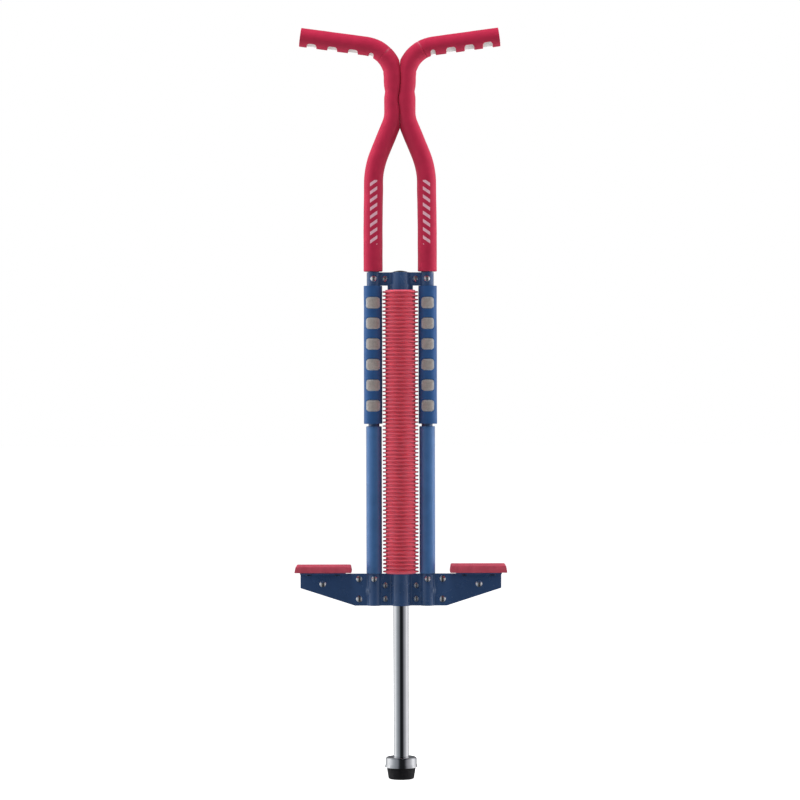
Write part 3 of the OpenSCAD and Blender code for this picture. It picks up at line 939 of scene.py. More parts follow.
    def along_handle(self, distance: float) -> Matrix:
        """Returns the place of a section, this far past the bend or back in it.

        Args:
            distance: Distance from the end of the bend, negative in the bend.

        Returns:
            A matrix whose z axis follows the bar and whose x axis points inwards.
        """
        turn = self.handle_turn + min(0.0, distance) / self.top_r
        start = Matrix.Translation(self.on_bend(turn)) @ Matrix.Rotation(turn, 4, "Y")
        return start @ Matrix.Translation((0, 0, max(0.0, distance)))


LINE = TubeLine()


SEAM_WEAR_WIDTH = 0.0012
SEAM_WEAR_RISE = 0.009


def seam_wear(past: np.ndarray, out: np.ndarray, rows: np.ndarray) -> np.ndarray:
    """Returns how much the foam is rubbed pale beside a seam, from 0 to 1.

    Args:
        past: Distance of each point from the seam.
        out: How far each point lies to the outside of the bend.
        rows: The points, whose front counts more.

    Returns:
        One number for each point.
    """
    close = np.clip(1.3 - past / SEAM_WEAR_WIDTH, 0, 1)
    return close * np.clip((out - MM) / SEAM_WEAR_RISE, 0, 1) * np.where(rows[:, 1] < 0, 0.8, 0.4)


@dataclass
class UprightFoam:
    """The red foam sleeve on one upright, squeezed against its neighbour at the top."""

    side: Side
    radius: float = 0.01385
    wall: float = 0.0056
    low: float = 0.7353
    rim: float = 0.0013
    pinch_z: float = 0.9962
    pinch: float = 0.0013
    fold_z: float = 1.0258
    fold: float = 0.0007
    swell_z: float = 1.012
    swell: float = 0.0008
    splay: float = 0.0008
    tube_r: float = 0.0095
    skin_depth: float = 0.003
    crease_from: float = 0.97
    fold_reach: float = 0.026
    swell_top: float = 1.034
    splay_from: float = 0.85
    tight: float = 0.0005
    fold_tight: float = 0.0003
    press_from: float = 0.92
    press_lift: float = 0.00015

    @property
    def seam(self) -> float:
        """Turn of the handle bend at which the sleeve ends, in radians."""
        return math.radians(self.side.pick(45.0, 60.0) + 0.6)

    def build(self) -> bpy.types.Object:
        """Returns the sleeve, with its creases and its flat against the other one."""
        piece = LINE.upright(f"{self.side.value}_upright_sleeve", self.radius, self.low, self.seam)
        modify(piece, "SOLIDIFY", thickness=self.wall, offset=-1.0, use_even_offset=True)
        modify(piece, "BEVEL", width=self.rim, segments=4, limit_method="ANGLE",
               angle_limit=math.radians(55))
        ripple(piece, 0.0003, 38)
        self.crease(piece)
        if self.side is Side.LEFT:
            flip_left(piece)
        return piece

    def crease(self, piece: bpy.types.Object) -> None:
        """Pinches the foam where it kinks, and squeezes the pair flat against each other."""
        rows = points(piece)
        x, y, z = rows.T
        outer = (z > self.crease_from) * np.clip(
            (np.hypot(x - LINE.top_x, y) - self.tube_r) / self.skin_depth, 0, 1)
        away = np.clip((x - LINE.top_x) / self.radius, 0, 1) * outer
        near = np.exp(-(((z - self.pinch_z) / 0.0055) ** 2))
        fold = np.exp(-(((z - self.fold_z) / 0.0016) ** 2)) * (x < self.fold_reach)
        full = np.clip((z - self.pinch_z) / (self.swell_z - self.pinch_z), 0, 1)
        fade = np.clip((self.swell_top - z) / 0.012, 0, 1)
        rows[:, 0] += away * (self.swell * full * fade - self.pinch * near - self.fold * fold)
        front = np.clip(np.abs(y) / self.radius, 0, 1) * outer
        tight = (self.tight * np.exp(-(((z - self.pinch_z) / 0.004) ** 2))
                 + self.fold_tight * fold)
        rows[:, 1] -= np.sign(y) * tight * front
        low = np.clip((self.splay_from - z) / 0.05, 0, 1)
        rows[:, 0] += self.splay * low * np.clip(
            (np.hypot(x - LINE.leg_x, y) - self.tube_r) / self.skin_depth, 0, 1)
        self.press(rows)
        place_points(piece, rows)
        start, along, up = LINE.section(self.seam)
        before = (start - rows) @ along
        mark(piece, "wear_and_highlight", seam_wear(before, (rows - start) @ up, rows))

    def press(self, rows: np.ndarray) -> None:
        """Presses the sleeve against its neighbour along a groove that wanders a little.

        Args:
            rows: The sleeve's points, which are moved.
        """
        x, y, z = rows.T
        wander = (-0.0025 * np.exp(-(((z - 0.9835) / 0.0105) ** 2))
                  + 0.0011 * np.exp(-(((z - 1.014) / 0.014) ** 2)))
        wander *= self.side.pick(-1, 1)
        shown = np.clip((np.abs(y) - 0.002) / 0.005, 0, 1)
        shifted = x + wander * shown * np.clip((0.011 - x) / 0.007, 0, 1)
        plane = wander * shown
        gap = shifted - plane
        middle, slope = LINE.middle(z)
        depth = np.maximum(self.radius / slope - middle, 0)
        lift = self.press_lift
        pressed = 0.5 * (gap + np.sqrt(gap**2 + 4 * (lift**2 + lift * depth))) - lift
        rows[:, 0] = plane + np.where(z > self.press_from, np.maximum(pressed, 1e-5), gap)

    def finish(self, finishes: Finishes) -> None:
        """Builds and dresses the sleeve."""
        node = f"{self.side.value}_upright_foam"
        hand_over(self.build(), finishes.foam_printed, [node], sharp=50)


@dataclass
class Grip:
    """One hand grip: a red skin with finger notches over a light-grey inner foam."""

    side: Side
    radius: float = 0.0137
    core_r: float = 0.0117
    bar_r: float = 0.0081
    gap: float = 0.0001
    end_wall: float = 0.003
    seam_wall: float = math.radians(3)
    notch_width: float = 0.0144
    bend_notch_width: float = 0.0074
    notch_half_angle: float = math.radians(57)
    notch_corner: float = 0.004
    notches: int = 4
    first_notch: float = 0.0183
    skin_voxel: float = 0.00055
    core_voxel: float = 0.0009

    @property
    def seam(self) -> float:
        """Turn of the handle bend at which the grip starts, in radians."""
        return math.radians(self.side.pick(45.0, 60.0) + 0.5)

    @property
    def pitch(self) -> float:
        """Distance from one finger notch to the next."""
        return self.side.pick(0.0302, 0.0268)

    @property
    def roll(self) -> float:
        """Roll of the notches towards the front, in radians."""
        return math.radians(self.side.pick(-6.5, 6.5))

    def notch_tool(self, number: int) -> bpy.types.Object:
        """Returns the rounded block that cuts one notch, counted from the end."""
        width = self.notch_width if number < self.notches - 1 else self.bend_notch_width
        depth = self.radius * (1 - math.cos(self.notch_half_angle))
        high = 2 * (depth + self.notch_corner)
        corner = min(self.notch_corner, width * 0.49)
        tool = block("notch_tool", (high, 4 * self.radius, width), corner, 1)
        distance = LINE.handle_length - self.first_notch - number * self.pitch
        shift = Matrix.Translation((self.radius + self.notch_corner, 0, 0))
        tool.data.transform(
            LINE.along_handle(distance) @ Matrix.Rotation(-self.roll, 4, "Z") @ shift)
        return tool

    def build_skin(self) -> bpy.types.Object:
        """Returns the red skin with its notches and soft edges."""
        length = LINE.handle_length
        skin = LINE.handle(f"{self.side.value}_grip_skin", self.radius, self.seam, length)
        wide = LINE.handle(
            "wide_bore", self.core_r + self.gap, self.seam + self.seam_wall,
            length - self.end_wall)
        bore = LINE.handle("bar_bore", self.bar_r, self.seam - 0.02, length + MM)
        tools = [self.notch_tool(number) for number in range(self.notches)]
        combine(skin, [wide, bore, *tools])
        soften(skin, self.skin_voxel, 5)
        ripple(skin, 0.0002, 60)
        rows = points(skin)
        start, along, up = LINE.section(self.seam)
        mark(skin, "wear_and_highlight", seam_wear((rows - start) @ along, (rows - start) @ up, rows))
        if self.side is Side.LEFT:
            flip_left(skin)
        return skin

    def build_core(self) -> bpy.types.Object:
        """Returns the inner foam."""
        turn = self.seam + self.seam_wall + math.radians(1.5)
        length = LINE.handle_length - self.end_wall - self.gap
        core = LINE.handle(f"{self.side.value}_grip_inner_foam", self.core_r, turn, length)
        combine(core, [LINE.handle("bar_bore", self.bar_r, turn - 0.02, length + MM)])
        soften(core, self.core_voxel, 3)
        if self.side is Side.LEFT:
            flip_left(core)
        return core

    def finish(self, finishes: Finishes) -> None:
        """Builds and dresses the grip."""
        word = self.side.value
        hand_over(self.build_skin(), finishes.foam_red, [f"{word}_grip"],
                  sharp=60)
        hand_over(self.build_core(), finishes.grip_core,
                  [f"{word}_grip_core"], sharp=60)


@dataclass
class KneePad:
    """One knee pad: a blue skin with rounded windows over a grey inner foam."""

    side: Side
    radius: float = 0.0134
    wall: float = 0.0019
    shift: float = 0.0011
    bore_r: float = 0.0081
    bore_height: float = 0.21
    low: float = 0.5145
    height: float = 0.2
    windows: int = 6
    first: float = 0.0262
    pitch: float = 0.0298
    window_height: float = 0.0173
    corner: float = 0.0048
    plug_rise: float = 0.00165
    plug_edge: float = 0.0011
    core_rows: int = 180
    skin_voxel: float = 0.0006

    @property
    def middle_x(self) -> float:
        """Distance of the pad's own middle from the piston."""
        return LINE.leg_x + self.shift

    @property
    def window_width(self) -> float:
        """Width of one window."""
        return self.side.pick(0.0202, 0.0182)

    def window_z(self, number: int) -> float:
        """Height of the middle of one window."""
        return self.low + self.first + number * self.pitch

    def build_skin(self) -> bpy.types.Object:
        """Returns the blue skin, with windows at the front and the back."""
        bpy.ops.mesh.primitive_circle_add(
            vertices=96, radius=self.radius, location=(self.middle_x, 0, self.low))
        skin = named(f"{self.side.value}_knee_pad_skin")
        with editing(skin):
            bpy.ops.mesh.select_all(action="SELECT")
            extrude(z=self.height)
        close_up(skin)
        modify(skin, "SOLIDIFY", thickness=self.wall, offset=-1.0)
        tools = []
        for number in range(self.windows):
            size = (self.window_width, 4 * self.radius, self.window_height)
            tool = block("window_tool", size, self.corner, 1)
            tool.data.transform(Matrix.Translation((self.middle_x, 0, self.window_z(number))))
            tools.append(tool)
        combine(skin, tools)
        soften(skin, self.skin_voxel, 4)
        ripple(skin, 0.00025, 30)
        mark(skin, "wear_and_highlight", np.zeros(len(skin.data.vertices)))
        if self.side is Side.LEFT:
            flip_left(skin)
        return skin

    def build_core(self) -> bpy.types.Object:
        """Returns the grey foam, which swells into the windows."""
        inner_r = self.radius - self.wall - 0.0001
        bpy.ops.mesh.primitive_circle_add(
            vertices=128, radius=inner_r, location=(self.middle_x, 0, self.low + 0.0002))
        core = named(f"{self.side.value}_knee_pad_inner_foam")
        with editing(core):
            bpy.ops.mesh.select_all(action="SELECT")
            for _ in range(self.core_rows):
                extrude(z=(self.height - 0.0004) / self.core_rows)
        rows = points(core)
        u, v = rows[:, 0] - self.middle_x, rows[:, 2]
        rise = np.zeros(len(rows))
        half = np.array((self.window_width / 2, self.window_height / 2)) + 0.0001
        for number in range(self.windows):
            away = np.abs(np.stack((u, v - self.window_z(number)), 1)) - half + self.corner
            outside = np.linalg.norm(np.maximum(away, 0), axis=1) - self.corner
            inside = np.clip(-(outside + np.minimum(away.max(1), 0)) / self.plug_edge, 0, 1)
            rise = np.maximum(rise, inside * (2 - inside))
        spread = (inner_r + self.plug_rise * rise) / inner_r
        rows[:, 0] = self.middle_x + u * spread
        rows[:, 1] *= spread
        place_points(core, rows)
        close_up(core, fill=True)
        bore_at = (LINE.leg_x, 0, self.low - MM)
        combine(core, [rod("leg_bore", self.bore_r, bore_at, self.bore_height)])
        rows = points(core)
        sides = np.abs(rows[:, 0] - self.middle_x) / (self.window_width / 2)
        spacing = (rows[:, 2] - self.low - self.first + self.pitch / 2) % self.pitch
        levels = np.abs(spacing - self.pitch / 2) / (self.window_height / 2)
        mark(core, "rim", np.clip((np.maximum(sides, levels) - 0.66) / 0.3, 0, 1))
        if self.side is Side.LEFT:
            flip_left(core)
        return core

    def finish(self, finishes: Finishes) -> None:
        """Builds and dresses the knee pad."""
        word = self.side.value
        hand_over(self.build_skin(), finishes.pad_blue, [f"{word}_knee_pad"],
                  sharp=60)
        hand_over(self.build_core(), finishes.pad_core,
                  [f"{word}_knee_pad_core"], sharp=50)


@dataclass
class LegSleeve:
    """The blue plastic sleeve on one leg."""

    side: Side
    radius: float = 0.01135
    wall: float = 0.00325
    low: float = 0.2975
    high: float = 0.511
    rim: float = 0.0012
    rows: int = 20

    def finish(self, finishes: Finishes) -> None:
        """Builds and dresses the sleeve."""
        bpy.ops.mesh.primitive_circle_add(
            vertices=96, radius=self.radius, location=(LINE.leg_x, 0, self.low))
        piece = named(f"{self.side.value}_leg_tube_sleeve")
        with editing(piece):
            bpy.ops.mesh.select_all(action="SELECT")
            for _ in range(self.rows):
                extrude(z=(self.high - self.low) / self.rows)
        close_up(piece)
        modify(piece, "SOLIDIFY", thickness=self.wall, offset=-1.0)
        modify(piece, "BEVEL", width=self.rim, segments=4, limit_method="ANGLE",
               angle_limit=math.radians(55))
        if self.side is Side.LEFT:
            flip_left(piece)
        hand_over(piece, finishes.sleeve, [f"{self.side.value}_leg_sleeve"])


# Spring and its cover -------------------------------------------------------------


@dataclass
class SpringCover:
    """The ribbed red cover around the spring."""

    low: float = 0.2976
    high: float = 0.7084
    ribs: int = 74
    root_r: float = 0.0215
    crest_r: float = 0.0259
    bore_r: float = 0.0203
    sides: int = 84

    @property
    def pitch(self) -> float:
        """Height of one rib."""
        return (self.high - self.low) / self.ribs

    def rib(self) -> list[Point]:
        """Returns one rib's profile as (radius, height)."""
        shape = (
            (0.0, 0.0), (0.01, 0.13), (0.08, 0.235), (0.28, 0.295), (0.82, 0.318),
            (0.96, 0.35), (1.0, 0.41), (1.0, 0.59), (0.96, 0.65), (0.82, 0.682),
            (0.28, 0.705), (0.08, 0.765), (0.01, 0.87), (0.0, 1.0),
        )
        deep = self.crest_r - self.root_r
        return [(self.root_r + deep * out, self.low + self.pitch * up) for out, up in shape]

    def finish(self, finishes: Finishes) -> None:
        """Builds and dresses the cover: one rib, repeated and closed with its bore."""
        piece = lathe("ribbed_spring_cover", self.rib(), self.sides)
        modify(piece, "ARRAY", count=self.ribs, use_relative_offset=False,
               use_constant_offset=True, constant_offset_displace=(0, 0, self.pitch),
               use_merge_vertices=True, merge_threshold=1e-5)
        shrink = self.bore_r / self.root_r
        with editing(piece):
            for z in (self.low, self.high):
                select_where(piece, "edges", lambda co, z=z: abs(co.z - z) < 1e-5)
                extrude()
                bpy.ops.transform.resize(
                    value=(shrink, shrink, 1), center_override=(0, 0, z))
            select_where(piece, "edges", lambda co: math.hypot(co.x, co.y) < self.bore_r + 1e-5)
            bpy.ops.mesh.bridge_edge_loops()
        close_up(piece)
        hand_over(piece, finishes.cover, ["spring_cover"], sharp=75)


@dataclass
class MainSpring:
    """The coil spring, with closed end turns."""

    low: float = 0.3152
    high: float = 0.7044
    wire_r: float = 0.00225
    coil_r: float = 0.01675
    turns: int = 36
    sides: int = 10
    steps: int = 32
    travel: float = 0.15
    play: float = 0.0001

    def finish(self, finishes: Finishes) -> None:
        """Builds and dresses the spring."""
        bpy.ops.mesh.primitive_circle_add(
            vertices=self.sides, radius=self.wire_r, location=(self.coil_r, 0, 0),
            rotation=(math.pi / 2, 0, 0))
        piece = named("coil_spring")
        modify(piece, "SCREW", angle=math.tau * self.turns, screw_offset=float(self.turns),
               steps=self.steps * self.turns, render_steps=self.steps * self.turns,
               use_merge_vertices=False)
        rows = points(piece)
        ring = np.repeat(np.arange(len(rows) // self.sides), self.sides)
        turn = ring / self.steps
        if abs(rows[self.sides, 0] - rows[0, 0]) > self.wire_r:
            raise ValueError("the wire's rings are not in order")
        close_pitch = 2 * self.wire_r + self.play
        inner = self.high - self.low - 2 * self.wire_r - 2 * close_pitch
        open_pitch = inner / (self.turns - 2)
        lift = (np.minimum(turn, 1) * close_pitch
                + np.clip(turn - 1, 0, self.turns - 2) * open_pitch
                + np.maximum(turn - self.turns + 1, 0) * close_pitch)
        rows[:, 2] += self.low + self.wire_r + lift - turn
        place_points(piece, rows)
        close_up(piece, fill=True)
        hand_over(piece, finishes.spring, ["main_spring"], sharp=60)
        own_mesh(piece)


# Brackets -------------------------------------------------------------------------


def bulge(
    middle: float, radius: float, flat: float, fillet: float, steps: int = 14
) -> list[Point]:
    """Returns the outline of a round bulge that runs smoothly into a flat sheet.

    Args:
        middle: Place of the bulge along x.
        radius: Outer radius of the bulge.
        flat: Distance of the sheet's face from the middle plane.
        fillet: Radius of the run-out.
        steps: Steps over the bulge.

    Returns:
        Points as (x, distance towards the front).
    """
    reach = math.sqrt((radius + fillet) ** 2 - (flat + fillet) ** 2)
    lean = math.atan2(reach, flat + fillet)
    run_out = [
        (middle - reach + fillet * math.sin(a), flat + fillet - fillet * math.cos(a))
        for a in np.linspace(0, lean, 5)
    ]
    crown = [
        (middle + radius * math.sin(a), radius * math.cos(a))
        for a in np.linspace(-lean, lean, steps)
    ]
    back = [(2 * middle - x, y) for x, y in reversed(run_out)]
    return run_out + crown[1:-1] + back


def sheet_strip(name: str, outline: Sequence[Point], rows: Sequence[float]) -> bpy.types.Object:
    """Draws an outline and raises it into an upright sheet at the front.

    Args:
        name: The piece's name.
        outline: Points as (x, distance towards the front).
        rows: Heights of the sheet's rows.

    Returns:
        The sheet's front face.
    """
    first = outline[0]
    bpy.ops.mesh.primitive_plane_add(size=MM, location=(first[0], -first[1], rows[0]))
    piece = named(name)
    with editing(piece):
        bpy.ops.mesh.select_all(action="SELECT")
        bpy.ops.mesh.merge(type="CENTER")
        for (x0, y0), (x1, y1) in zip(outline, outline[1:]):
            step = {"value": (x1 - x0, y0 - y1, 0)}
            bpy.ops.mesh.extrude_vertices_move(TRANSFORM_OT_translate=step)
        bpy.ops.mesh.select_all(action="SELECT")
        for low, high in zip(rows, rows[1:]):
            extrude(z=high - low)
    return piece


def thicken(piece: bpy.types.Object, sheet: float) -> None:
    """Gives a front face its thickness towards the middle plane.

    Args:
        piece: The front face.
        sheet: Thickness of the sheet.
    """
    close_up(piece)
    mesh = piece.data
    facing = sum(face.normal.y * face.area for face in mesh.polygons)
    if facing > 0:
        with editing(piece):
            bpy.ops.mesh.select_all(action="SELECT")
            bpy.ops.mesh.flip_normals()
    modify(piece, "SOLIDIFY", thickness=sheet, offset=-1.0, use_even_offset=True)


def round_edges(piece: bpy.types.Object, width: float) -> None:
    """Rounds the cut edges of a sheet."""
    modify(piece, "BEVEL", width=width, segments=3, limit_method="ANGLE",
           angle_limit=math.radians(50), use_clamp_overlap=True)


def rear_copy(piece: bpy.types.Object, name: str) -> bpy.types.Object:
    """Returns a mirrored copy of a front half, with its own mesh."""
    pick(piece)
    bpy.ops.object.duplicate(linked=False)
    rear = bpy.context.object
    rear.name = rear.data.name = name
    with editing(rear):
        bpy.ops.mesh.select_all(action="SELECT")
        bpy.ops.transform.resize(value=(1, -1, 1), center_override=(0, 0, 0))
        bpy.ops.mesh.flip_normals()
    return rear


@dataclass
class FootBracket:
    """The pressed foot bracket: bulges for the legs and the piston, and tread shelves."""

    low: float = 0.251
    high: float = 0.2974
    half: float = 0.1455
    base_half: float = 0.0665
    slant_z: float = 0.2765
    flat: float = 0.00205
    sheet: float = 0.002
    fillet: float = 0.0022
    leg_r: float = 0.01005
    barrel_r: float = 0.0144
    shelf_in: float = 0.0798
    shelf_z: float = 0.2996
    shelf_depth: float = 0.027
    fold_r: float = 0.0026
    dart_z: float = 0.273
    dart_x: float = 0.0479
    dart_depth: float = 0.0036
    dart_half_height: float = 0.0058
    dart_half_width: float = 0.0031
    corner: float = 0.003
    rim: float = 0.0005

    def outline(self) -> list[Point]:
        """Returns the sheet's section from left to right."""
        near_dart = [(x, self.flat) for x in (0.0505, 0.0511, 0.0517, 0.0525, 0.0535)]
        right = (
            bulge(LINE.leg_x, self.leg_r, self.flat, self.fillet) + near_dart
            + [(x, self.flat) for x in (0.06, self.base_half, self.shelf_in, 0.1, 0.125,
                                        self.half)]
        )
        left = [(-x, y) for x, y in reversed(right)]
        return left + bulge(0.0, self.barrel_r, self.flat, self.fillet, 22) + right

    def build(self) -> bpy.types.Object:
        """Returns the front half."""
        fold_z = self.shelf_z - self.sheet - self.fold_r
        rows = list(np.linspace(self.low, fold_z, 30))
        piece = sheet_strip("foot_bracket_front_pressing", self.outline(), rows)
        slope = math.atan2(self.slant_z - self.low, self.half - self.base_half)
        with editing(piece):
            for sign in (-1, 1):
                bpy.ops.mesh.select_all(action="SELECT")
                bpy.ops.mesh.bisect(
                    plane_co=(sign * self.base_half, 0, self.low),
                    plane_no=(sign * math.sin(slope), 0, -math.cos(slope)), clear_outer=True)
            select_where(piece, "verts", lambda co: abs(abs(co.x) - self.half) < 1e-5
                         and co.z < self.slant_z + 1e-5)
            bpy.ops.mesh.bevel(offset=self.corner, segments=4, affect="VERTICES")
            top = fold_z - 1e-5
            select_where(piece, "edges",
                         lambda co: co.z > top and abs(co.x) > self.shelf_in - 1e-5)
            spin(6, math.pi / 2, (0, -self.flat - self.fold_r, fold_z), (1, 0, 0))
            extrude(y=self.flat + self.fold_r - self.shelf_depth)
            select_where(piece, "edges", lambda co: abs(co.z - fold_z) < 1e-6
                         and abs(co.x) < self.shelf_in + 1e-5)
            extrude(z=self.high - fold_z)
        self.press_darts(piece)
        thicken(piece, self.sheet)
        round_edges(piece, self.rim)
        return piece

    def press_darts(self, piece: bpy.types.Object) -> None:
        """Presses the small V-shaped darts that stiffen the outer edge of each leg bulge, and
        marks them for the paint's painted highlight.
        """
        rows = points(piece)
        along = np.clip(1 - np.abs(rows[:, 2] - self.dart_z) / self.dart_half_height, 0, 1)
        across = np.clip(
            1 - np.abs(np.abs(rows[:, 0]) - self.dart_x) / self.dart_half_width, 0, 1)
        rows[:, 1] -= self.dart_depth * along * across
        place_points(piece, rows)
        # This mark drives the painted highlight on the darts in the bracket paint.
        mark(piece, "wear_and_highlight", along * across)

    def finish(self, finishes: Finishes) -> None:
        """Builds and dresses both halves."""
        front = self.build()
        rear = rear_copy(front, "foot_bracket_rear_pressing")
        for piece, node in ((front, "foot_bracket_front"), (rear, "foot_bracket_rear")):
            hand_over(piece, finishes.bracket_paint, [node])


@dataclass
class UpperBracket:
    """The pressed upper bracket: it wraps round both legs and guides the piston."""

    low: float = 0.7149
    high: float = 0.7341
    flat: float = 0.00205
    sheet: float = 0.002
    fillet: float = 0.0018
    leg_r: float = 0.01005
    barrel_r: float = 0.0139
    skirt_low: float = 0.7076
    skirt_half: float = 0.0184
    skirt_r: float = 0.0159
    rim: float = 0.00045

    def outline(self) -> list[Point]:
        """Returns the section from the left leg's outside to the right leg's."""
        leg = bulge(LINE.leg_x, self.leg_r, self.flat, self.fillet)
        inner = leg[: len(leg) // 2]
        wrap = [
            (LINE.leg_x + self.leg_r * math.sin(a), self.leg_r * math.cos(a))
            for a in np.linspace(0, math.radians(89.6), 12)
        ]
        right = inner + wrap
        left = [(-x, y) for x, y in reversed(right)]
        return left + bulge(0.0, self.barrel_r, self.flat, self.fillet, 22) + right

    def skirt_outline(self) -> list[Point]:
        """Returns the section of the skirt over the spring cap."""
        ends = [(-self.skirt_half, self.flat), (self.skirt_half, self.flat)]
        lean = math.acos(self.flat / self.skirt_r)
        crown = [
            (self.skirt_r * math.sin(a), self.skirt_r * math.cos(a))
            for a in np.linspace(-lean, lean, 26)
        ]
        return [ends[0], *crown, ends[1]]

    def build(self) -> bpy.types.Object:
        """Returns the front half, with its skirt joined on."""
        rows = list(np.linspace(self.low, self.high, 8))
        piece = sheet_strip("upper_bracket_front_pressing", self.outline(), rows)
        thicken(piece, self.sheet)
        skirt = sheet_strip(
            "skirt", self.skirt_outline(), [self.skirt_low, self.low + self.sheet * 0.8])
        thicken(skirt, self.sheet * 1.1)
        combine(piece, [skirt], "UNION")
        round_edges(piece, self.rim)
        return piece

    def finish(self, finishes: Finishes) -> None:
        """Builds and dresses both halves."""
        front = self.build()
        rear = rear_copy(front, "upper_bracket_rear_pressing")
        for piece, node in ((front, "upper_bracket_front"), (rear, "upper_bracket_rear")):
            hand_over(piece, finishes.bracket_paint, [node])


# Treads and the foot of the piston ------------------------------------------------


@dataclass
class Tread:
    """One rubber tread with sloping sides and a grooved top."""

    side: Side
    inner: float = 0.071
    outer: float = 0.1534
    depth: float = 0.062
    low: float = 0.2999
    flare: float = 0.0018
    under: float = 0.0009
    corner: float = 0.009
    grooves: int = 8
    groove_pitch: float = 0.0062
    groove_r: float = 0.0011
    border: float = 0.0075
    top_round: float = 0.0015
    lip: float = 0.0022
    lip_slope: float = 0.0008
    lip_step: float = 0.0005

    @property
    def thick(self) -> float:
        """Thickness; the left tread is pressed down a little more."""
        return self.side.pick(0.0093, 0.0107)

    def build(self) -> bpy.types.Object:
        """Returns the tread."""
        length = self.outer - self.inner
        piece = block(
            f"{self.side.value}_rubber_tread", (length, self.depth, self.thick), self.corner, 2)
        middle = (self.outer + self.inner) / 2
        piece.data.transform(Matrix.Translation((middle, 0, self.low + self.thick / 2)))
        top = self.low + self.thick
        with editing(piece):
            select_where(piece, "verts", lambda co: co.z > top - 1e-6)
            bpy.ops.transform.resize(
                value=(1 - 2 * self.flare / length, 1 - 2 * self.flare / self.depth, 1),
                center_override=(middle, 0, top))
            select_where(piece, "faces", lambda co: co.z < self.low + 1e-6)
            bpy.ops.mesh.bevel(offset=self.under, segments=3, affect="EDGES")
            select_where(piece, "faces", lambda co: co.z > top - 1e-6)
            bpy.ops.mesh.bevel(offset=self.top_round, segments=4, affect="EDGES")
            select_where(piece, "faces", lambda co: co.z > top - 1e-6)
            bpy.ops.mesh.inset(thickness=self.lip)
            bpy.ops.mesh.inset(thickness=self.lip_slope)
            bpy.ops.transform.translate(value=(0, 0, -self.lip_step))
        tools = []
        for number in range(self.grooves):
            y = (number - (self.grooves - 1) / 2) * self.groove_pitch
            bpy.ops.mesh.primitive_cylinder_add(
                vertices=20, radius=self.groove_r, depth=length - 2 * self.border,
                location=(middle, y, top), rotation=(0, math.pi / 2, 0))
            tools.append(named("groove_tool"))
        combine(piece, tools)
        modify(piece, "BEVEL", width=0.0009, segments=3, limit_method="ANGLE",
               angle_limit=math.radians(60), use_clamp_overlap=True)
        if self.side is Side.LEFT:
            flip_left(piece)
        return piece

    def finish(self, finishes: Finishes) -> None:
        """Builds and dresses the tread."""
        hand_over(self.build(), finishes.tread, [f"{self.side.value}_tread"])


def arc(centre: Point, radius: float, start: float, end: float, steps: int = 6) -> list[Point]:
    """Returns points of an arc in a profile.

    Args:
        centre: The arc's centre as (radius, height).
        radius: The arc's radius.
        start: First angle in degrees.
        end: Last angle in degrees.
        steps: Number of steps.

    Returns:
        The points.
    """
    return [
        (centre[0] + radius * math.cos(math.radians(a)),
         centre[1] + radius * math.sin(math.radians(a)))
        for a in np.linspace(start, end, steps + 1)
    ]


@dataclass
class PistonFoot:
    """The chrome cup and the rubber tip at the lower end of the piston."""

    bore_r: float = 0.01115
    cup_r: float = 0.0225
    lip_r: float = 0.0238
    cup_top: float = 0.032
    corner: float = 0.0032
    wall: float = 0.0017
    tip_high: float = 0.0168
    tip_r: float = 0.0209
    base_r: float = 0.0189
    socket_z: float = 0.0083
    sole_rings: tuple[float, ...] = (0.0045, 0.0085, 0.0125)

    def cup_profile(self) -> list[Point]:
        """Returns the cup's closed section."""
        low, r, top = self.tip_high + 0.0001, self.cup_r, self.cup_top
        inner = r - self.wall
        return [
            (self.bore_r, top - self.wall), (self.bore_r, top - 0.0003),
            (self.bore_r + 0.0003, top),
            *arc((r - self.corner, top - self.corner), self.corner, 90, 0, 8),
            (r, low + 0.0052), (r + 0.0002, low + 0.004), (r + 0.0008, low + 0.0026),
            (self.lip_r - 0.0004, low + 0.0014), (self.lip_r, low + 0.0008),
            (self.lip_r - 0.0001, low + 0.0002), (self.lip_r - 0.0006, low),
            (self.tip_r + 0.0001, low), (inner, low + 0.004), (inner, top - self.wall - 0.001),
            (inner - 0.001, top - self.wall), (self.bore_r, top - self.wall),
        ]

    def tip_profile(self) -> list[Point]:
        """Returns the tip's section, with ring grooves in its sole."""
        inner = self.cup_r - self.wall - 0.0001
        top = self.cup_top - self.wall - 0.0001
        sole = [(0.0, 0.0)]
        for ring in self.sole_rings:
            sole += [(ring - 0.0008, 0.0), (ring - 0.0004, 0.0011),
                     (ring + 0.0004, 0.0011), (ring + 0.0008, 0.0)]
        return sole + [
            *arc((self.base_r - 0.003, 0.003), 0.003, -90, 0, 8),
            (self.base_r + 0.0012, 0.0105), (self.tip_r, self.tip_high - 0.0006),
            (self.tip_r - 0.0003, self.tip_high), (inner, self.tip_high + 0.0045),
            (inner, top), (self.bore_r, top), (self.bore_r, self.socket_z),
            (0.0, self.socket_z),
        ]

    def finish(self, finishes: Finishes) -> None:
        """Builds and dresses the cup and the tip."""
        hand_over(lathe("chrome_foot_cup", self.cup_profile()), finishes.chrome,
                  ["foot_cup"], Body.PISTON, sharp=50)
        hand_over(lathe("piston_rubber_tip", self.tip_profile()), finishes.black_rubber,
                  ["rubber_tip"], Body.PISTON, sharp=50)


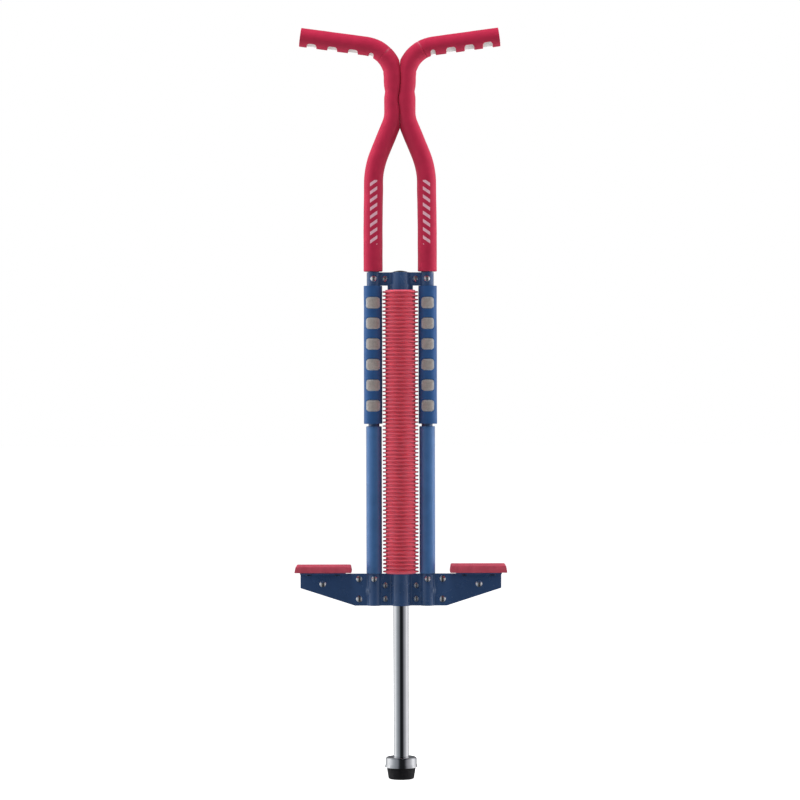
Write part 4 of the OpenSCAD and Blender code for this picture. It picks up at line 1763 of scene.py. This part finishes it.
@dataclass
class CarriedOver:
    """The nodes whose own shape is right and that only get a better finish."""

    finishes: Finishes
    dressed: dict[str, tuple[str, ...]] = field(default_factory=lambda: {
        "frame_paint": ("left_frame_tube", "right_frame_tube"),
        "black_plastic": ("left_bar_plug", "right_bar_plug", "piston_top_plug"),
        "rivet": ("handle_rivet", "tube_rivets", "upper_web_rivets", "foot_web_rivets"),
        "nylon": ("handle_spacer", "upper_bushing", "lower_bushing"),
        "zinc": ("upper_spring_cap", "spring_seat", "seat_pin", "tip_washer"),
        "screw": ("tread_screws",),
        "black_rubber": ("rebound_bumper",),
        "chrome": ("piston_tube",),
    })

    def finish(self) -> None:
        """Dresses the nodes."""
        for finish, names in self.dressed.items():
            for name in names:
                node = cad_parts[name]
                node.data.materials.clear()
                node.data.materials.append(getattr(self.finishes, finish))
                log.info("%s: dressed in %s", name, finish)


# Studio ---------------------------------------------------------------------------


@dataclass
class Studio:
    """A pale floor, a white tent that is open at its front, four soft lamps and the camera."""

    distance: float = 4.17
    height: float = 0.549
    lens: float = 129.4
    lean: float = 0.0022
    aim_x: float = -0.0007
    strength: float = 1.1
    below: Colour = (0.85, 0.85, 0.87)
    floor_glow: float = 0.8
    lamp_aim: tuple[float, float, float] = (0, 0, 0.55)
    lamps: tuple[tuple[str, tuple[float, float, float], float, float], ...] = (
        ("top_lamp", (-0.3, -0.6, 3.5), 1.6, 72),
        ("front_lamp", (0.8, -3.6, 1.0), 1.2, 13),
        ("left_lamp", (-2.4, 0.35, 0.8), 1.6, 42),
        ("right_lamp", (2.4, 0.35, 0.8), 1.6, 46),
    )
    walls: tuple[tuple[float, Colour], ...] = (
        (-180, (0.12, 0.12, 0.13)), (-156, (0.2, 0.21, 0.22)), (-134, (0.66, 0.67, 0.69)),
        (-108, (1.0, 1.0, 1.0)), (-84, (0.72, 0.74, 0.77)), (-62, (0.4, 0.42, 0.44)),
        (-44, (0.26, 0.28, 0.3)), (-26, (0.19, 0.2, 0.22)), (-14, (0.035, 0.04, 0.045)),
        (-6, (0.012, 0.013, 0.015)), (20, (0.012, 0.013, 0.015)), (28, (0.04, 0.042, 0.048)),
        (35, (0.13, 0.13, 0.145)), (48, (0.29, 0.29, 0.31)), (62, (0.38, 0.38, 0.4)),
        (78, (0.6, 0.6, 0.62)), (97, (1.0, 0.99, 1.0)), (125, (0.74, 0.74, 0.76)),
        (152, (0.2, 0.2, 0.21)), (180, (0.12, 0.12, 0.13)),
    )

    def floor(self) -> None:
        """Lays the floor, which takes the stick's shadow and isn't mirrored in it."""
        bpy.ops.mesh.primitive_circle_add(vertices=96, radius=30.0, fill_type="NGON")
        piece = named("studio_floor")
        sheet = NodeSheet.start("pale_floor", (0.9, 0.9, 0.9), 0.9)
        sheet.shader.inputs["Emission Color"].default_value = (1, 1, 1, 1)
        sheet.set(Emission_Strength=self.floor_glow)
        piece.data.materials.append(sheet.material)
        piece.visible_diffuse = piece.visible_glossy = False

    def lamp(self, name: str, at: Sequence[float], size: float, power: float) -> None:
        """Hangs a soft square lamp that points at the stick's middle.

        Args:
            name: The lamp's name.
            at: Its place.
            size: Its side.
            power: Its power in watts.
        """
        data = bpy.data.lights.new(name, "AREA")
        data.shape, data.size, data.energy = "SQUARE", size, power
        lamp = bpy.data.objects.new(name, data)
        bpy.context.scene.collection.objects.link(lamp)
        lamp.location = at
        aim = Vector(self.lamp_aim) - Vector(at)
        lamp.rotation_mode = "QUATERNION"
        lamp.rotation_quaternion = aim.to_track_quat("-Z", "Y")
        lamp.visible_glossy = False

    def camera(self) -> None:
        """Sets up the camera in front of the stick."""
        data = bpy.data.cameras.new("camera")
        data.lens, data.sensor_width = self.lens, 36.0
        camera = bpy.data.objects.new("camera", data)
        bpy.context.scene.collection.objects.link(camera)
        camera.location = (self.aim_x, -self.distance, self.height)
        camera.rotation_euler = (math.pi / 2, self.lean, 0)
        bpy.context.scene.camera = camera

    def tent(self) -> None:
        """Lights the scene by the direction from which the light comes."""
        world = bpy.data.worlds.new("light_tent")
        bpy.context.scene.world = world
        world.use_nodes = True
        graph = Graph(world.node_tree)
        inside = graph.tree.nodes["Background"]
        x, y, z = graph.node("SeparateXYZ", graph.node("TexCoord").outputs["Generated"]).outputs
        forward = graph.math("MULTIPLY", graph.math("SIGN", y), -1.0)
        reach = graph.math("SQRT", graph.math("SUBTRACT", 1.0, graph.math("MULTIPLY", x, x)))
        heading = graph.math("ARCTAN2", x, graph.math("MULTIPLY", forward, reach))
        stops = [(0.5 + degrees / 360, colour) for degrees, colour in self.walls]
        wall = graph.shades(graph.span(heading, -math.pi, math.pi), *stops)
        rays = graph.node("LightPath").outputs
        lower = graph.math("MULTIPLY", rays["Is Diffuse Ray"], graph.span(z, -0.4, -0.7))
        light = graph.blend(lower, wall, self.below)
        graph.tree.links.new(light, inside.inputs["Color"])
        inside.inputs["Strength"].default_value = self.strength
        seen = graph.node("Background", (1, 1, 1, 1), 1.0)
        choice = graph.node("MixShader", rays["Is Camera Ray"])
        graph.tree.links.new(inside.outputs[0], choice.inputs[1])
        graph.tree.links.new(seen.outputs[0], choice.inputs[2])
        graph.tree.links.new(
            choice.outputs[0], graph.tree.nodes["World Output"].inputs["Surface"])

    def build(self) -> None:
        """Builds the whole studio."""
        bpy.context.scene.view_settings.view_transform = "Standard"
        self.camera()
        self.tent()
        self.floor()
        for name, at, size, power in self.lamps:
            self.lamp(name, at, size, power)


def main() -> None:
    """Builds the stick in order and reports each piece."""
    logging.basicConfig(level=logging.INFO, format="%(message)s")
    Studio().build()
    finishes = Finishes()
    CarriedOver(finishes).finish()
    for side in Side:
        UprightFoam(side).finish(finishes)
        Grip(side).finish(finishes)
        KneePad(side).finish(finishes)
        LegSleeve(side).finish(finishes)
        Tread(side).finish(finishes)
    SpringCover().finish(finishes)
    MainSpring().finish(finishes)
    FootBracket().finish(finishes)
    UpperBracket().finish(finishes)
    PistonFoot().finish(finishes)


if __name__ == "__main__":
    main()
